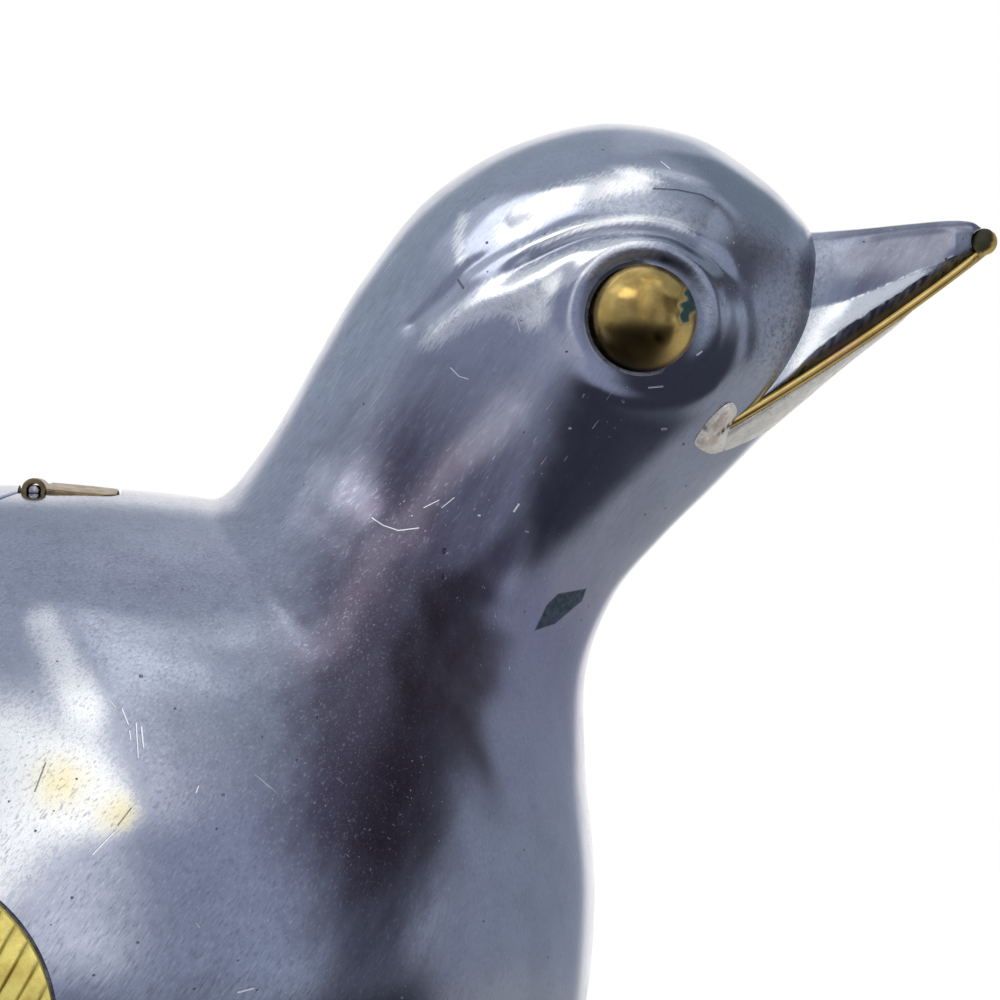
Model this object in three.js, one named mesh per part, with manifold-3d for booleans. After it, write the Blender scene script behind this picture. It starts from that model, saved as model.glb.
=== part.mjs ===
// A quail-shaped trinket box: a hollow metal bird with brass fittings and a lid on its back.
// Millimetres, +Z up, beak towards +X. The origin is the middle of the overall box, on the flat base.
import * as THREE from "three";
import { mergeVertices } from "three/addons/utils/BufferGeometryUtils.js";
import Module from "manifold-3d";

const wasm = await Module();
wasm.setup();

// Sheet and clearance
const SHELL_WALL = 1.8;
const BASE_THICKNESS = 1.2;
const SEAT_GAP = 0.3; // between pieces that rest on each other
const SEAM = 0.1; // between pieces that are soldered together

// Lid, an oval in the bird's back, and the ring that it rests on
const LID_FRONT_X = 7;
const LID_REAR_X = -57;
const LID_HALF_WIDTH = 21;
const LID_SEAM = 0.3;
const SEAT_RING_THICKNESS = 1;
const SEAT_RING_UNDER_LID = 2.5;
const SEAT_RING_UNDER_SHELL = 3;
const SEAT_RING_BREAK = 12; // gap in the ring, which the lid's hinge leaf passes through

// Hinge at the front of the lid
const HINGE_WIDTH = 12;
const KNUCKLE_RADIUS = 1;
const KNUCKLE_PROUD = 0.5;
const LID_KNUCKLE_WIDTH = 4.4;
const PIN_RADIUS = 0.45;
const PIN_CLEARANCE = 0.15;
const PIN_END = 0.15; // past the knuckles, each side
const LEAF_THICKNESS = 0.5;
const BODY_LEAF_LENGTH = 6.6;
const BODY_LEAF_CORNER = 1.6;
const BODY_LEAF_PROUD = 0.35; // at the knuckle; the leaf's front edge is level with the back
const LID_LEAF_LENGTH = 7.3;
const LID_LEAF_WIDTH = 10;

// Thumb tab at the rear of the lid
const TAB_WIDTH = 9;
const TAB_THICKNESS = 0.8;
const TAB_ON_LID = 6;
const TAB_OVERHANG = 4.5;
const TAB_LIFT_DEG = 12;
const TAB_SQUARENESS = 0.7; // 1 is an oval, less is squarer

// Wings, as a side view outline: a round front, then two curves that meet at a point near the tail
const WING_FRONT_X = -3.3;
const WING_FRONT_Z = 34.2;
const WING_FRONT_RADIUS = 12.8;
const WING_FRONT_TURN_DEG = 8;
const WING_FULLNESS = 27;
const WING_TOP_FALL = 1.5;
const WING_TIP = [-68, 44];
const WING_TIP_RUN = 21;
const WING_TIP_OVER = 5;
const WING_TIP_UNDER = 2;
const WING_PROUD = 0.3;
const WING_RECESS = 0.5;

// Eyes, domed studs whose shanks pass through the shell
const EYE_X = 55.4;
const EYE_Z = 89.6;
const EYE_RADIUS = 4.3;
const EYE_HEIGHT = 3.2;
const EYE_SOCKET_DEPTH = 0.8;
const EYE_SHANK_RADIUS = 1;
const EYE_SHANK_LENGTH = 3.4;

// Mouth plate, a brass strip that sags a little from inside the head to the beak's tip: x, z
const MOUTH_ROOT = [60.5, 80.2];
const MOUTH_SAG = [73.05, 87.4];
const MOUTH_END = [83.3, 95.5];
const MOUTH_PLATE_THICKNESS = 0.8;
const MOUTH_PLATE_PROUD = 0.35;
const NOSE_X = 82.85;
const NOSE_Z = 95.85;
const NOSE_RADIUS = 1.07;
const NOSE_WIDTH = 1.2;

// Upper beak: x, height of the ridge, half width at the mouth plate
const RIDGE = [
  [63, 96.2, 7.5],
  [66, 96.4, 7.0],
  [69, 96.6, 6.0],
  [73, 96.9, 4.5],
  [77, 97.3, 3.2],
  [80, 97.55, 2.2],
  [81.8, 97.45, 1.5],
  [82.6, 97.0, 0.9],
];

// Lower beak, as wide as the upper: x, height of the chin
const CHIN = [
  [62, 78.2],
  [65, 80.3],
  [67, 81.9],
  [69, 83.6],
  [71, 85.3],
  [73, 86.9],
  [75, 88.4],
  [76.4, 89.4],
];

// Solder over each corner of the mouth, as a side view outline on the cheek: x, z
const SOLDER_THICKNESS = 0.5;
const SOLDER_OUTLINE = [
  [59.6, 79.7],
  [60.2, 80.9],
  [61.3, 82.2],
  [62.4, 82.95],
  [62.9, 82.5],
  [62.85, 81.75],
  [61.9, 81.1],
  [61.9, 79.2],
  [60.7, 79.0],
];

// Sections of the bird from the tail to the front of the head. Each is an oval across the body that
// runs from a point on the back line to a point on the belly line. The columns are back x, back z,
// belly x, belly z, half width, and roundness, where 2 is an ellipse and more is squarer.
const SECTIONS = [
  [-83.9, 47.6, -83.9, 45.2, 7.5, 2.6],
  [-82.2, 49.2, -82.6, 43.9, 10.2, 2.5],
  [-77.5, 51.2, -78.5, 42.6, 12.2, 2.3],
  [-70.5, 54.0, -71.5, 40.0, 14.2, 2.2],
  [-62.0, 57.8, -63.5, 35.5, 17.2, 2.1],
  [-52.0, 62.6, -54.0, 28.5, 21.8, 2],
  [-41.0, 67.8, -43.5, 19.8, 27.0, 2],
  [-29.0, 72.2, -32.0, 10.8, 31.2, 2],
  [-17.0, 75.1, -18.5, 3.2, 34.0, 2],
  [-6.0, 76.4, -4.0, -1.6, 35.0, 2],
  [3.5, 76.5, 11.0, -2.8, 34.9, 2],
  [10.8, 76.3, 25.0, -0.4, 33.8, 2],
  [16.0, 75.9, 36.5, 6.4, 31.4, 2],
  [19.4, 75.5, 45.0, 17.0, 28.2, 2],
  [21.4, 75.3, 50.0, 30.0, 24.9, 2],
  [22.8, 76.2, 51.7, 43.2, 21.6, 2],
  [24.4, 78.1, 50.9, 54.0, 18.4, 2],
  [26.6, 81.3, 50.9, 61.6, 15.8, 2],
  [29.7, 87.0, 53.2, 67.5, 14.2, 2],
  [33.4, 93.1, 57.0, 72.1, 13.6, 2],
  [38.2, 99.1, 61.0, 76.1, 13.7, 2.05],
  [44.8, 103.4, 64.0, 79.1, 13.5, 2.1],
  [52.1, 105.3, 66.2, 81.4, 12.4, 2.1],
  [59.4, 104.3, 67.7, 83.9, 10.4, 2.1],
  [65.0, 100.9, 68.9, 87.8, 7.7, 2.1],
  [68.0, 98.0, 69.4, 91.9, 4.7, 2],
  [69.0, 96.6, 69.6, 93.6, 2.4, 2],
];
const HOLLOW_SECTIONS = [3.2, 22.5]; // where the hollow ends, behind the lid and inside the head
const WING_SECTIONS = [2, 15];
const HEAD_SECTIONS = [17, 26];
const BACK_ABOVE = 45; // the belly is below this height all along the lid

// Mesh fineness
const SKIN_STEP = 0.5;
const SKIN_SIDES = 36;
const HOLLOW_STEP = 1;
const HOLLOW_SIDES = 24;
const FITTING_STEP = 0.25;
const CURVE_POINTS = 14;
const ROUND_SIDES = 16;
const EYE_SIDES = 32;
const DOME_STEPS = 7;
const WELD = 1e-4; // corners closer than this are one
const SLOPE_STEP = 0.01; // in sections
const SOLVE_HALVINGS = 50;

// Reach of a cut that goes past everything on its side of the bird
const FAR = 200;
const LID_CUT_DEPTH = 10;
const RING_CUT_DEPTH = 20;
const SIDE_CUT_FROM = 4;
const NOTCH_DEPTH = 10;

// Shapes as solids, and solids as shapes

function solidOf(geometry) {
  const bare = geometry.clone();
  bare.deleteAttribute("normal");
  bare.deleteAttribute("uv");
  const merged = mergeVertices(bare, WELD);
  return new wasm.Manifold(
    new wasm.Mesh({
      numProp: 3,
      vertProperties: new Float32Array(merged.attributes.position.array),
      triVerts: new Uint32Array(merged.index.array),
    }),
  );
}

function geometryOf(solid) {
  const mesh = solid.getMesh();
  const positions = new Float32Array(mesh.numVert * 3);
  for (let i = 0; i < mesh.numVert; i++) {
    const from = i * mesh.numProp;
    positions.set(mesh.vertProperties.subarray(from, from + 3), i * 3);
  }
  const geometry = new THREE.BufferGeometry();
  geometry.setAttribute("position", new THREE.BufferAttribute(positions, 3));
  geometry.setIndex(new THREE.BufferAttribute(new Uint32Array(mesh.triVerts), 1));
  geometry.computeVertexNormals();
  return geometry;
}

// Rings of points joined into a closed tube, each end capped by a fan from its middle.
function loftSolid(rings) {
  const sides = rings[0].length;
  const positions = rings.flat(2);
  const index = [];
  for (let i = 0; i + 1 < rings.length; i++) {
    for (let j = 0; j < sides; j++) {
      const a = i * sides + j;
      const b = i * sides + ((j + 1) % sides);
      index.push(a, a + sides, b, b, a + sides, b + sides);
    }
  }
  const addCap = (ring, isStart) => {
    const middle = positions.length / 3;
    for (let k = 0; k < 3; k++) {
      positions.push(rings[ring].reduce((sum, p) => sum + p[k], 0) / sides);
    }
    for (let j = 0; j < sides; j++) {
      const a = ring * sides + j;
      const b = ring * sides + ((j + 1) % sides);
      index.push(...(isStart ? [middle, a, b] : [middle, b, a]));
    }
  };
  addCap(0, true);
  addCap(rings.length - 1, false);
  const geometry = new THREE.BufferGeometry();
  geometry.setAttribute("position", new THREE.Float32BufferAttribute(positions, 3));
  geometry.setIndex(index);
  return solidOf(geometry);
}

function boxSolid(low, high) {
  const size = low.map((v, k) => high[k] - v);
  const geometry = new THREE.BoxGeometry(...size);
  geometry.translate(...low.map((v, k) => (v + high[k]) / 2));
  return solidOf(geometry);
}

// A flat outline pushed along its own +Z from one height to another, then placed by a matrix.
function prismSolid(outline, from, to, placed = new THREE.Matrix4()) {
  const shape = new THREE.Shape(outline.map(([x, y]) => new THREE.Vector2(x, y)));
  const geometry = new THREE.ExtrudeGeometry(shape, { depth: to - from, bevelEnabled: false });
  geometry.translate(0, 0, from);
  geometry.applyMatrix4(placed);
  return solidOf(geometry);
}

const standingUp = new THREE.Matrix4().makeRotationX(Math.PI / 2);

// A side view outline carried out through the bird's right side, which is the -Y side.
const rightPrism = (outline) => prismSolid(outline, SIDE_CUT_FROM, FAR, standingUp);

// A side view outline carried across the bird, evenly about its middle plane.
const crossPrism = (outline, width) => prismSolid(outline, -width / 2, width / 2, standingUp);

// A round bar along Y at a point of the side view.
function crossBar(x, z, radius, from, to) {
  const geometry = new THREE.CylinderGeometry(radius, radius, to - from, ROUND_SIDES);
  geometry.translate(x, (from + to) / 2, z);
  return solidOf(geometry);
}

const mirrored = (solid) => solid.mirror([0, 1, 0]);

// Where a rising function passes zero.
function solve(rising, low, high) {
  for (let i = 0; i < SOLVE_HALVINGS; i++) {
    const middle = (low + high) / 2;
    if (rising(middle) > 0) high = middle;
    else low = middle;
  }
  return (low + high) / 2;
}

// A smooth run through evenly numbered values: a cubic whose slopes come from each value's neighbours.
function runThrough(values, at) {
  const last = values.length - 1;
  const i = Math.min(Math.max(Math.floor(at), 0), last - 1);
  const t = at - i;
  const [b, c] = [values[i], values[i + 1]];
  const a = i > 0 ? values[i - 1] : 2 * b - c;
  const d = i + 2 <= last ? values[i + 2] : 2 * c - b;
  const [m, n] = [(c - a) / 2, (d - b) / 2];
  return b + t * (m + t * (3 * (c - b) - 2 * m - n + t * (2 * (b - c) + m + n)));
}

const columnsOf = (rows) => rows[0].map((_, k) => rows.map((row) => row[k]));

// The bird's skin

const LAST = SECTIONS.length - 1;
const sectionColumns = columnsOf(SECTIONS);

// A section of the skin, moved inwards by a depth.
function sectionAt(at, depth = 0) {
  const row = sectionColumns.map((values) => runThrough(values, at));
  const before = Math.max(at - SLOPE_STEP, 0);
  const after = Math.min(at + SLOPE_STEP, LAST);
  const inwards = (k, side) => {
    const dx = runThrough(sectionColumns[k], after) - runThrough(sectionColumns[k], before);
    const dz = runThrough(sectionColumns[k + 1], after) - runThrough(sectionColumns[k + 1], before);
    const scale = (side * depth) / Math.hypot(dx, dz);
    return [row[k] + dz * scale, row[k + 1] - dx * scale];
  };
  const back = inwards(0, 1);
  const belly = inwards(2, -1);
  return {
    back,
    middle: [(back[0] + belly[0]) / 2, (back[1] + belly[1]) / 2],
    half: [(back[0] - belly[0]) / 2, (back[1] - belly[1]) / 2],
    halfWidth: row[4] - depth,
    roundness: row[5],
  };
}

function sectionPoint({ middle, half, halfWidth, roundness }, angle) {
  const squared = (v) => Math.sign(v) * Math.abs(v) ** (2 / roundness);
  const along = squared(Math.cos(angle));
  return [
    middle[0] + half[0] * along,
    halfWidth * squared(Math.sin(angle)),
    middle[1] + half[1] * along,
  ];
}

// The skin as a solid, moved inwards by a depth that may change from section to section.
function skinSolid(depthAt, from = 0, to = LAST, step = SKIN_STEP, sides = SKIN_SIDES) {
  const count = Math.round((to - from) / step);
  const rings = Array.from({ length: count + 1 }, (_, i) => {
    const at = from + ((to - from) * i) / count;
    const section = sectionAt(at, depthAt(at));
    return Array.from({ length: sides }, (_, j) => sectionPoint(section, (2 * Math.PI * j) / sides));
  });
  return loftSolid(rings);
}

const hollowSkin = (depth) => skinSolid(() => depth, ...HOLLOW_SECTIONS, HOLLOW_STEP, HOLLOW_SIDES);
const wingSkin = (depth) => skinSolid(() => depth, ...WING_SECTIONS);
const headSkin = (depth) => skinSolid(() => depth, ...HEAD_SECTIONS);

const sectionOver = (x) => solve((at) => sectionAt(at).back[0] - x, 0, LAST);
const backHeight = (x) => sectionAt(sectionOver(x)).back[1];

// Half width of the skin at a point of the side view.
function skinHalfWidth(x, z) {
  const pastSection = (at) => {
    const { middle, half } = sectionAt(at);
    return (z - middle[1]) * half[0] - (x - middle[0]) * half[1];
  };
  const { middle, half, halfWidth, roundness } = sectionAt(solve(pastSection, 0, LAST));
  const along = ((x - middle[0]) * half[0] + (z - middle[1]) * half[1]) / (half[0] ** 2 + half[1] ** 2);
  return halfWidth * (1 - Math.abs(along) ** roundness) ** (1 / roundness);
}

// A layer of the back between two skins, inside an outline drawn in plan.
const backLayer = (over, under, outline) =>
  prismSolid(outline, BACK_ABOVE, FAR).intersect(over).subtract(under);

const wholeSkin = skinSolid(() => 0);
const hollow = hollowSkin(SHELL_WALL);

// Lid opening, cut square to the line from the hinge to the rear of the lid

const lidRun = LID_FRONT_X - LID_REAR_X;
const lidRise = backHeight(LID_FRONT_X) - backHeight(LID_REAR_X);
const lidHalfLength = Math.hypot(lidRun, lidRise) / 2;
const lidPlaced = new THREE.Matrix4()
  .makeTranslation(LID_FRONT_X - lidRun / 2, 0, backHeight(LID_FRONT_X) - lidRise / 2)
  .multiply(new THREE.Matrix4().makeRotationY(-Math.atan2(lidRise, lidRun)));

function lidPrism(grow, cutDepth) {
  const count = 4 * CURVE_POINTS;
  const outline = Array.from({ length: count }, (_, i) => {
    const angle = (2 * Math.PI * i) / count;
    return [(lidHalfLength + grow) * Math.cos(angle), (LID_HALF_WIDTH + grow) * Math.sin(angle)];
  });
  return prismSolid(outline, -cutDepth, FAR, lidPlaced);
}

// Hinge: its axis lies across the back at the front of the lid, mostly sunk in a notch

const axisX = LID_FRONT_X;
const axisZ = backHeight(LID_FRONT_X) + KNUCKLE_PROUD - KNUCKLE_RADIUS;
const hingeBar = (radius, halfWidth) => crossBar(axisX, axisZ, radius, -halfWidth, halfWidth);
const pinHalfWidth = HINGE_WIDTH / 2 + PIN_END;
const pinBore = hingeBar(PIN_RADIUS + PIN_CLEARANCE, HINGE_WIDTH);

function hingeNotch() {
  const reach = KNUCKLE_RADIUS + SEAT_GAP;
  const halfWidth = pinHalfWidth + SEAT_GAP;
  return boxSolid([axisX - reach, -halfWidth, axisZ - NOTCH_DEPTH], [axisX + reach, halfWidth, FAR]);
}

function bodyLeafSkin(depth) {
  const leafRunAt = (at) => (sectionAt(at).back[0] - axisX) / BODY_LEAF_LENGTH;
  const proudAt = (at) => BODY_LEAF_PROUD * THREE.MathUtils.clamp(1 - leafRunAt(at), 0, 1);
  const from = sectionOver(axisX - BODY_LEAF_LENGTH);
  const to = sectionOver(axisX + 2 * BODY_LEAF_LENGTH);
  return skinSolid((at) => depth - proudAt(at), from, to, FITTING_STEP);
}

function bodyLeafOutline(grow) {
  const half = HINGE_WIDTH / 2 + grow;
  const end = axisX + BODY_LEAF_LENGTH + grow;
  return [
    [axisX, -half],
    [end - BODY_LEAF_CORNER, -half],
    [end, -half + BODY_LEAF_CORNER],
    [end, half - BODY_LEAF_CORNER],
    [end - BODY_LEAF_CORNER, half],
    [axisX, half],
  ];
}

function bodyLeaf() {
  const gapHalf = LID_KNUCKLE_WIDTH / 2 + SEAT_GAP;
  const reach = KNUCKLE_RADIUS + SEAT_GAP;
  const knuckleGap = boxSolid(
    [axisX - reach, -gapHalf, axisZ - reach],
    [axisX + reach, gapHalf, axisZ + reach],
  );
  return backLayer(bodyLeafSkin(0), bodyLeafSkin(LEAF_THICKNESS), bodyLeafOutline(0))
    .add(hingeBar(KNUCKLE_RADIUS, HINGE_WIDTH / 2))
    .subtract(pinBore)
    .subtract(knuckleGap);
}

// The lid's leaf is a plate under the lid, with a web that drops from its knuckle past the shell.
function lidLeaf() {
  const depth = SHELL_WALL + SEAT_GAP;
  const start = axisX - KNUCKLE_RADIUS;
  const end = start - LID_LEAF_LENGTH;
  const half = LID_LEAF_WIDTH / 2;
  const outline = [
    [end, -half],
    [start, -half],
    [start, half],
    [end, half],
  ];
  const webFoot = backHeight(start) - depth - LEAF_THICKNESS;
  const web = [
    [start, webFoot],
    [axisX, webFoot],
    [axisX, axisZ],
    [start, axisZ],
  ];
  return backLayer(hollowSkin(depth), hollowSkin(depth + LEAF_THICKNESS), outline)
    .add(crossPrism(web, LID_KNUCKLE_WIDTH))
    .add(hingeBar(KNUCKLE_RADIUS, LID_KNUCKLE_WIDTH / 2))
    .subtract(pinBore);
}

// Thumb tab: a tongue on the lid's rear slope that lifts away past the lid's edge

function tabSkin(height) {
  const lift = Math.tan(THREE.MathUtils.degToRad(TAB_LIFT_DEG));
  const pastLidAt = (at) => Math.max(LID_REAR_X - sectionAt(at).back[0], 0);
  const from = sectionOver(LID_REAR_X - 2 * TAB_OVERHANG);
  const to = sectionOver(LID_REAR_X + 2 * TAB_ON_LID);
  return skinSolid((at) => -height - lift * pastLidAt(at), from, to, FITTING_STEP);
}

function thumbTab() {
  const half = [(TAB_ON_LID + TAB_OVERHANG) / 2, TAB_WIDTH / 2];
  const middle = LID_REAR_X + (TAB_ON_LID - TAB_OVERHANG) / 2;
  const squared = (v) => Math.sign(v) * Math.abs(v) ** TAB_SQUARENESS;
  const count = 2 * CURVE_POINTS;
  const outline = Array.from({ length: count }, (_, i) => {
    const angle = (2 * Math.PI * i) / count;
    return [middle + half[0] * squared(Math.cos(angle)), half[1] * squared(Math.sin(angle))];
  });
  return backLayer(tabSkin(SEAT_GAP + TAB_THICKNESS), tabSkin(SEAT_GAP), outline);
}

// Wings

function wingOutline(grow) {
  const turn = THREE.MathUtils.degToRad(WING_FRONT_TURN_DEG);
  const radius = WING_FRONT_RADIUS + grow;
  const dx = radius * Math.sin(turn);
  const dz = radius * Math.cos(turn);
  const over = [WING_FRONT_X - dx, WING_FRONT_Z + dz];
  const under = [WING_FRONT_X - dx, WING_FRONT_Z - dz];
  const tip = [WING_TIP[0] - grow, WING_TIP[1]];
  const tipHandleX = tip[0] + WING_TIP_RUN;
  const frontHandleX = over[0] - WING_FULLNESS * Math.cos(turn);
  const underHandle = [frontHandleX, under[1] + WING_FULLNESS * Math.sin(turn)];
  const path = new THREE.Path();
  path.moveTo(...tip);
  path.bezierCurveTo(tipHandleX, tip[1] - WING_TIP_UNDER + grow, ...underHandle, ...under);
  path.absarc(WING_FRONT_X, WING_FRONT_Z, radius, -Math.PI / 2 - turn, Math.PI / 2 + turn, false);
  const overHandle = [frontHandleX, over[1] + WING_TOP_FALL];
  path.bezierCurveTo(...overHandle, tipHandleX, tip[1] + WING_TIP_OVER + grow, ...tip);
  return path
    .getPoints(CURVE_POINTS)
    .slice(0, -1)
    .map((p) => [p.x, p.y]);
}

const wingPlate = rightPrism(wingOutline(0))
  .intersect(wingSkin(-WING_PROUD))
  .subtract(wingSkin(WING_RECESS - SEAT_GAP));
const wingRecess = rightPrism(wingOutline(SEAT_GAP)).subtract(wingSkin(WING_RECESS));

// Eyes: profiles of radius and distance from the middle plane, turned about the right eye's axis

const eyeSeat = skinHalfWidth(EYE_X, EYE_Z) - EYE_SOCKET_DEPTH;
const eyeBack = eyeSeat + SEAT_GAP;

function rightEyeTurned(profile) {
  const points = profile.map(([radius, out]) => new THREE.Vector2(radius, out));
  const geometry = new THREE.LatheGeometry(points, EYE_SIDES);
  geometry.translate(EYE_X, 0, EYE_Z);
  return mirrored(solidOf(geometry));
}

function eyeStud() {
  const domeRadius = (EYE_RADIUS ** 2 + EYE_HEIGHT ** 2) / (2 * EYE_HEIGHT);
  const domeAngle = Math.asin(EYE_RADIUS / domeRadius);
  const dome = Array.from({ length: DOME_STEPS }, (_, i) => {
    const angle = domeAngle * (1 - i / DOME_STEPS);
    return [domeRadius * Math.sin(angle), eyeBack + EYE_HEIGHT - domeRadius * (1 - Math.cos(angle))];
  });
  return rightEyeTurned([
    [0, eyeBack - EYE_SHANK_LENGTH],
    [EYE_SHANK_RADIUS, eyeBack - EYE_SHANK_LENGTH],
    [EYE_SHANK_RADIUS, eyeBack],
    ...dome,
    [0, eyeBack + EYE_HEIGHT],
  ]);
}

const eyeSocket = rightEyeTurned([
  [0, 0],
  [EYE_SHANK_RADIUS + SEAT_GAP, 0],
  [EYE_SHANK_RADIUS + SEAT_GAP, eyeSeat],
  [EYE_RADIUS + SEAT_GAP, eyeSeat],
  [EYE_RADIUS + SEAT_GAP, FAR],
  [0, FAR],
]);

// Beak and mouth

const mouthCurve = new THREE.QuadraticBezierCurve(
  new THREE.Vector2(...MOUTH_ROOT),
  new THREE.Vector2(...MOUTH_SAG),
  new THREE.Vector2(...MOUTH_END),
);
const mouthHeight = (x) => mouthCurve.getPoint(solve((t) => mouthCurve.getPoint(t).x - x, 0, 1)).y;
const mouthSlope = Math.atan2(MOUTH_END[1] - MOUTH_ROOT[1], MOUTH_END[0] - MOUTH_ROOT[0]);
const plateHalfHeight = MOUTH_PLATE_THICKNESS / 2 / Math.cos(mouthSlope);

const ridgeColumns = columnsOf(RIDGE);
const ridgeRow = (x) => solve((at) => runThrough(ridgeColumns[0], at) - x, 0, RIDGE.length - 1);
const beakHalfWidth = (x) => runThrough(ridgeColumns[2], ridgeRow(x));

// Half an oval standing on the mouth plate, or hanging under it, at each x along the beak.
function beakLoft(rows, side) {
  const [xs, edges] = columnsOf(rows);
  const rings = Array.from({ length: 2 * rows.length - 1 }, (_, i) => {
    const x = runThrough(xs, i / 2);
    const flat = mouthHeight(x) + side * (plateHalfHeight + SEAM);
    const reach = runThrough(edges, i / 2) - flat;
    return Array.from({ length: CURVE_POINTS + 1 }, (_, j) => {
      const angle = (Math.PI * j) / CURVE_POINTS;
      return [x, -side * beakHalfWidth(x) * Math.cos(angle), flat + reach * Math.sin(angle)];
    });
  });
  return loftSolid(rings);
}

const noseBar = (radius) => crossBar(NOSE_X, NOSE_Z, radius, -NOSE_WIDTH, NOSE_WIDTH);

// The plate is a little wider than the beak all round, and ends in a rounded nose.
function mouthPlate() {
  const edge = RIDGE.map(([x, , halfWidth]) => [x, halfWidth + MOUTH_PLATE_PROUD]);
  const tip = NOSE_X + NOSE_RADIUS;
  edge.push([tip, NOSE_WIDTH / 2]);
  const otherEdge = edge.map(([x, y]) => [x, -y]).reverse();
  const over = mouthCurve.getPoints(CURVE_POINTS).map((p) => [p.x, p.y + plateHalfHeight]);
  const under = over.map(([x, z]) => [x, z - 2 * plateHalfHeight]).reverse();
  return crossPrism([...over, ...under], FAR)
    .add(noseBar(NOSE_RADIUS))
    .intersect(prismSolid([...edge, ...otherEdge], 0, FAR))
    .subtract(headSkin(-SEAM));
}

const upperBeak = beakLoft(RIDGE, 1).subtract(headSkin(-SEAM)).subtract(noseBar(NOSE_RADIUS + SEAM));
const lowerBeak = beakLoft(CHIN, -1).subtract(headSkin(-SEAM));
const mouthSolder = rightPrism(SOLDER_OUTLINE)
  .intersect(headSkin(-SEAM - SOLDER_THICKNESS))
  .subtract(headSkin(-SEAM));

// Shells, base, lid and seat ring

const shellRight = wholeSkin
  .intersect(boxSolid([-FAR, -FAR, BASE_THICKNESS], [FAR, 0, FAR]))
  .subtract(hollow)
  .subtract(lidPrism(LID_SEAM / 2, LID_CUT_DEPTH))
  .subtract(hingeNotch())
  .subtract(backLayer(wholeSkin, bodyLeafSkin(LEAF_THICKNESS + SEAT_GAP), bodyLeafOutline(SEAT_GAP)))
  .subtract(wingRecess)
  .subtract(eyeSocket);

const basePlate = wholeSkin.intersect(boxSolid([-FAR, -FAR, 0], [FAR, FAR, BASE_THICKNESS]));

const lidPanel = wholeSkin
  .intersect(lidPrism(-LID_SEAM / 2, LID_CUT_DEPTH))
  .subtract(hollow)
  .subtract(hingeNotch());

function seatRing() {
  const depth = SHELL_WALL + SEAT_GAP;
  return hollowSkin(depth)
    .subtract(hollowSkin(depth + SEAT_RING_THICKNESS))
    .intersect(lidPrism(SEAT_RING_UNDER_SHELL, RING_CUT_DEPTH))
    .subtract(lidPrism(-SEAT_RING_UNDER_LID, RING_CUT_DEPTH))
    .subtract(boxSolid([0, -SEAT_RING_BREAK / 2, 0], [FAR, SEAT_RING_BREAK / 2, FAR]));
}

// The bird, piece by piece

const pewter = { color: 0x8f97ab, roughness: 0.28, metalness: 1 };
const dullPewter = { color: 0xb4b4b2, roughness: 0.5, metalness: 1 };
const brass = { color: 0xc9a24a, roughness: 0.22, metalness: 1 };
const steel = { color: 0x9a9a98, roughness: 0.35, metalness: 1 };

const bird = new THREE.Group();

function addPiece(name, solid, finish) {
  const mesh = new THREE.Mesh(geometryOf(solid), new THREE.MeshStandardMaterial(finish));
  mesh.name = name;
  bird.add(mesh);
}

function addPair(name, rightSolid, finish) {
  addPiece(name + "_right", rightSolid, finish);
  addPiece(name + "_left", mirrored(rightSolid), finish);
}

addPair("body_shell", shellRight, pewter);
addPiece("base_plate", basePlate, pewter);
addPiece("lid_seat_ring", seatRing(), brass);
addPiece("lid_panel", lidPanel, pewter);
addPiece("thumb_tab", thumbTab(), brass);
addPiece("hinge_leaf_body", bodyLeaf(), brass);
addPiece("hinge_leaf_lid", lidLeaf(), brass);
addPiece("hinge_pin", hingeBar(PIN_RADIUS, pinHalfWidth), steel);
addPair("wing_plate", wingPlate, brass);
addPair("eye_stud", eyeStud(), brass);
addPiece("beak_upper", upperBeak, pewter);
addPiece("beak_mouth_plate", mouthPlate(), brass);
addPiece("beak_lower", lowerBeak, dullPewter);
addPair("mouth_solder", mouthSolder, dullPewter);

export default bird;
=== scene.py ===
# %% [markdown]
# A quail-shaped trinket box: a hollow pewter bird with brass eyes, wings and mouth edge, and an oval
# lid hinged in its back. This lesson dresses the solid model of the box. The skin of the bird is one
# smooth surface, so it is worked out as a formula, and every other piece is laid on that surface.
# Lengths are written in millimetres, as a maker would, and turned into metres when a mesh is made.

# %% Load the solid model
import math

import bpy
import numpy as np
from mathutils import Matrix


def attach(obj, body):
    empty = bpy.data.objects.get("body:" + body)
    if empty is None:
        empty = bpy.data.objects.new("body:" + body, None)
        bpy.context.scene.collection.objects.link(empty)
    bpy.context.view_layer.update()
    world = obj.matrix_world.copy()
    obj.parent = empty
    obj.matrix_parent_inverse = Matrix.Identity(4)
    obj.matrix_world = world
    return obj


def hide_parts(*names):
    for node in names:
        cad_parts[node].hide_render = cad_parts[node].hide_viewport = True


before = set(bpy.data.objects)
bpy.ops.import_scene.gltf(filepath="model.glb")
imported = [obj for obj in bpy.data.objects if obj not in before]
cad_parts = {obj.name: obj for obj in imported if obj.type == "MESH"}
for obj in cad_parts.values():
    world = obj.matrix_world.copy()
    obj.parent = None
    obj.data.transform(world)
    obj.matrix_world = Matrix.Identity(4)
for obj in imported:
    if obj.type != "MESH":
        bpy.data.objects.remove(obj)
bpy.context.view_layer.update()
MM = 0.001

# %% [markdown]
# Every piece below is a grid of points, worked out as whole arrays. A few small helpers turn grids
# into meshes: one joins the rows of a grid with four-sided faces, one turns the faces outwards by
# the sign of the volume that they enclose, and one shades round places smoothly and keeps edges sharp.


# %% From grids to meshes
def fine(count):
    return int(count * (1.0))


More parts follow.
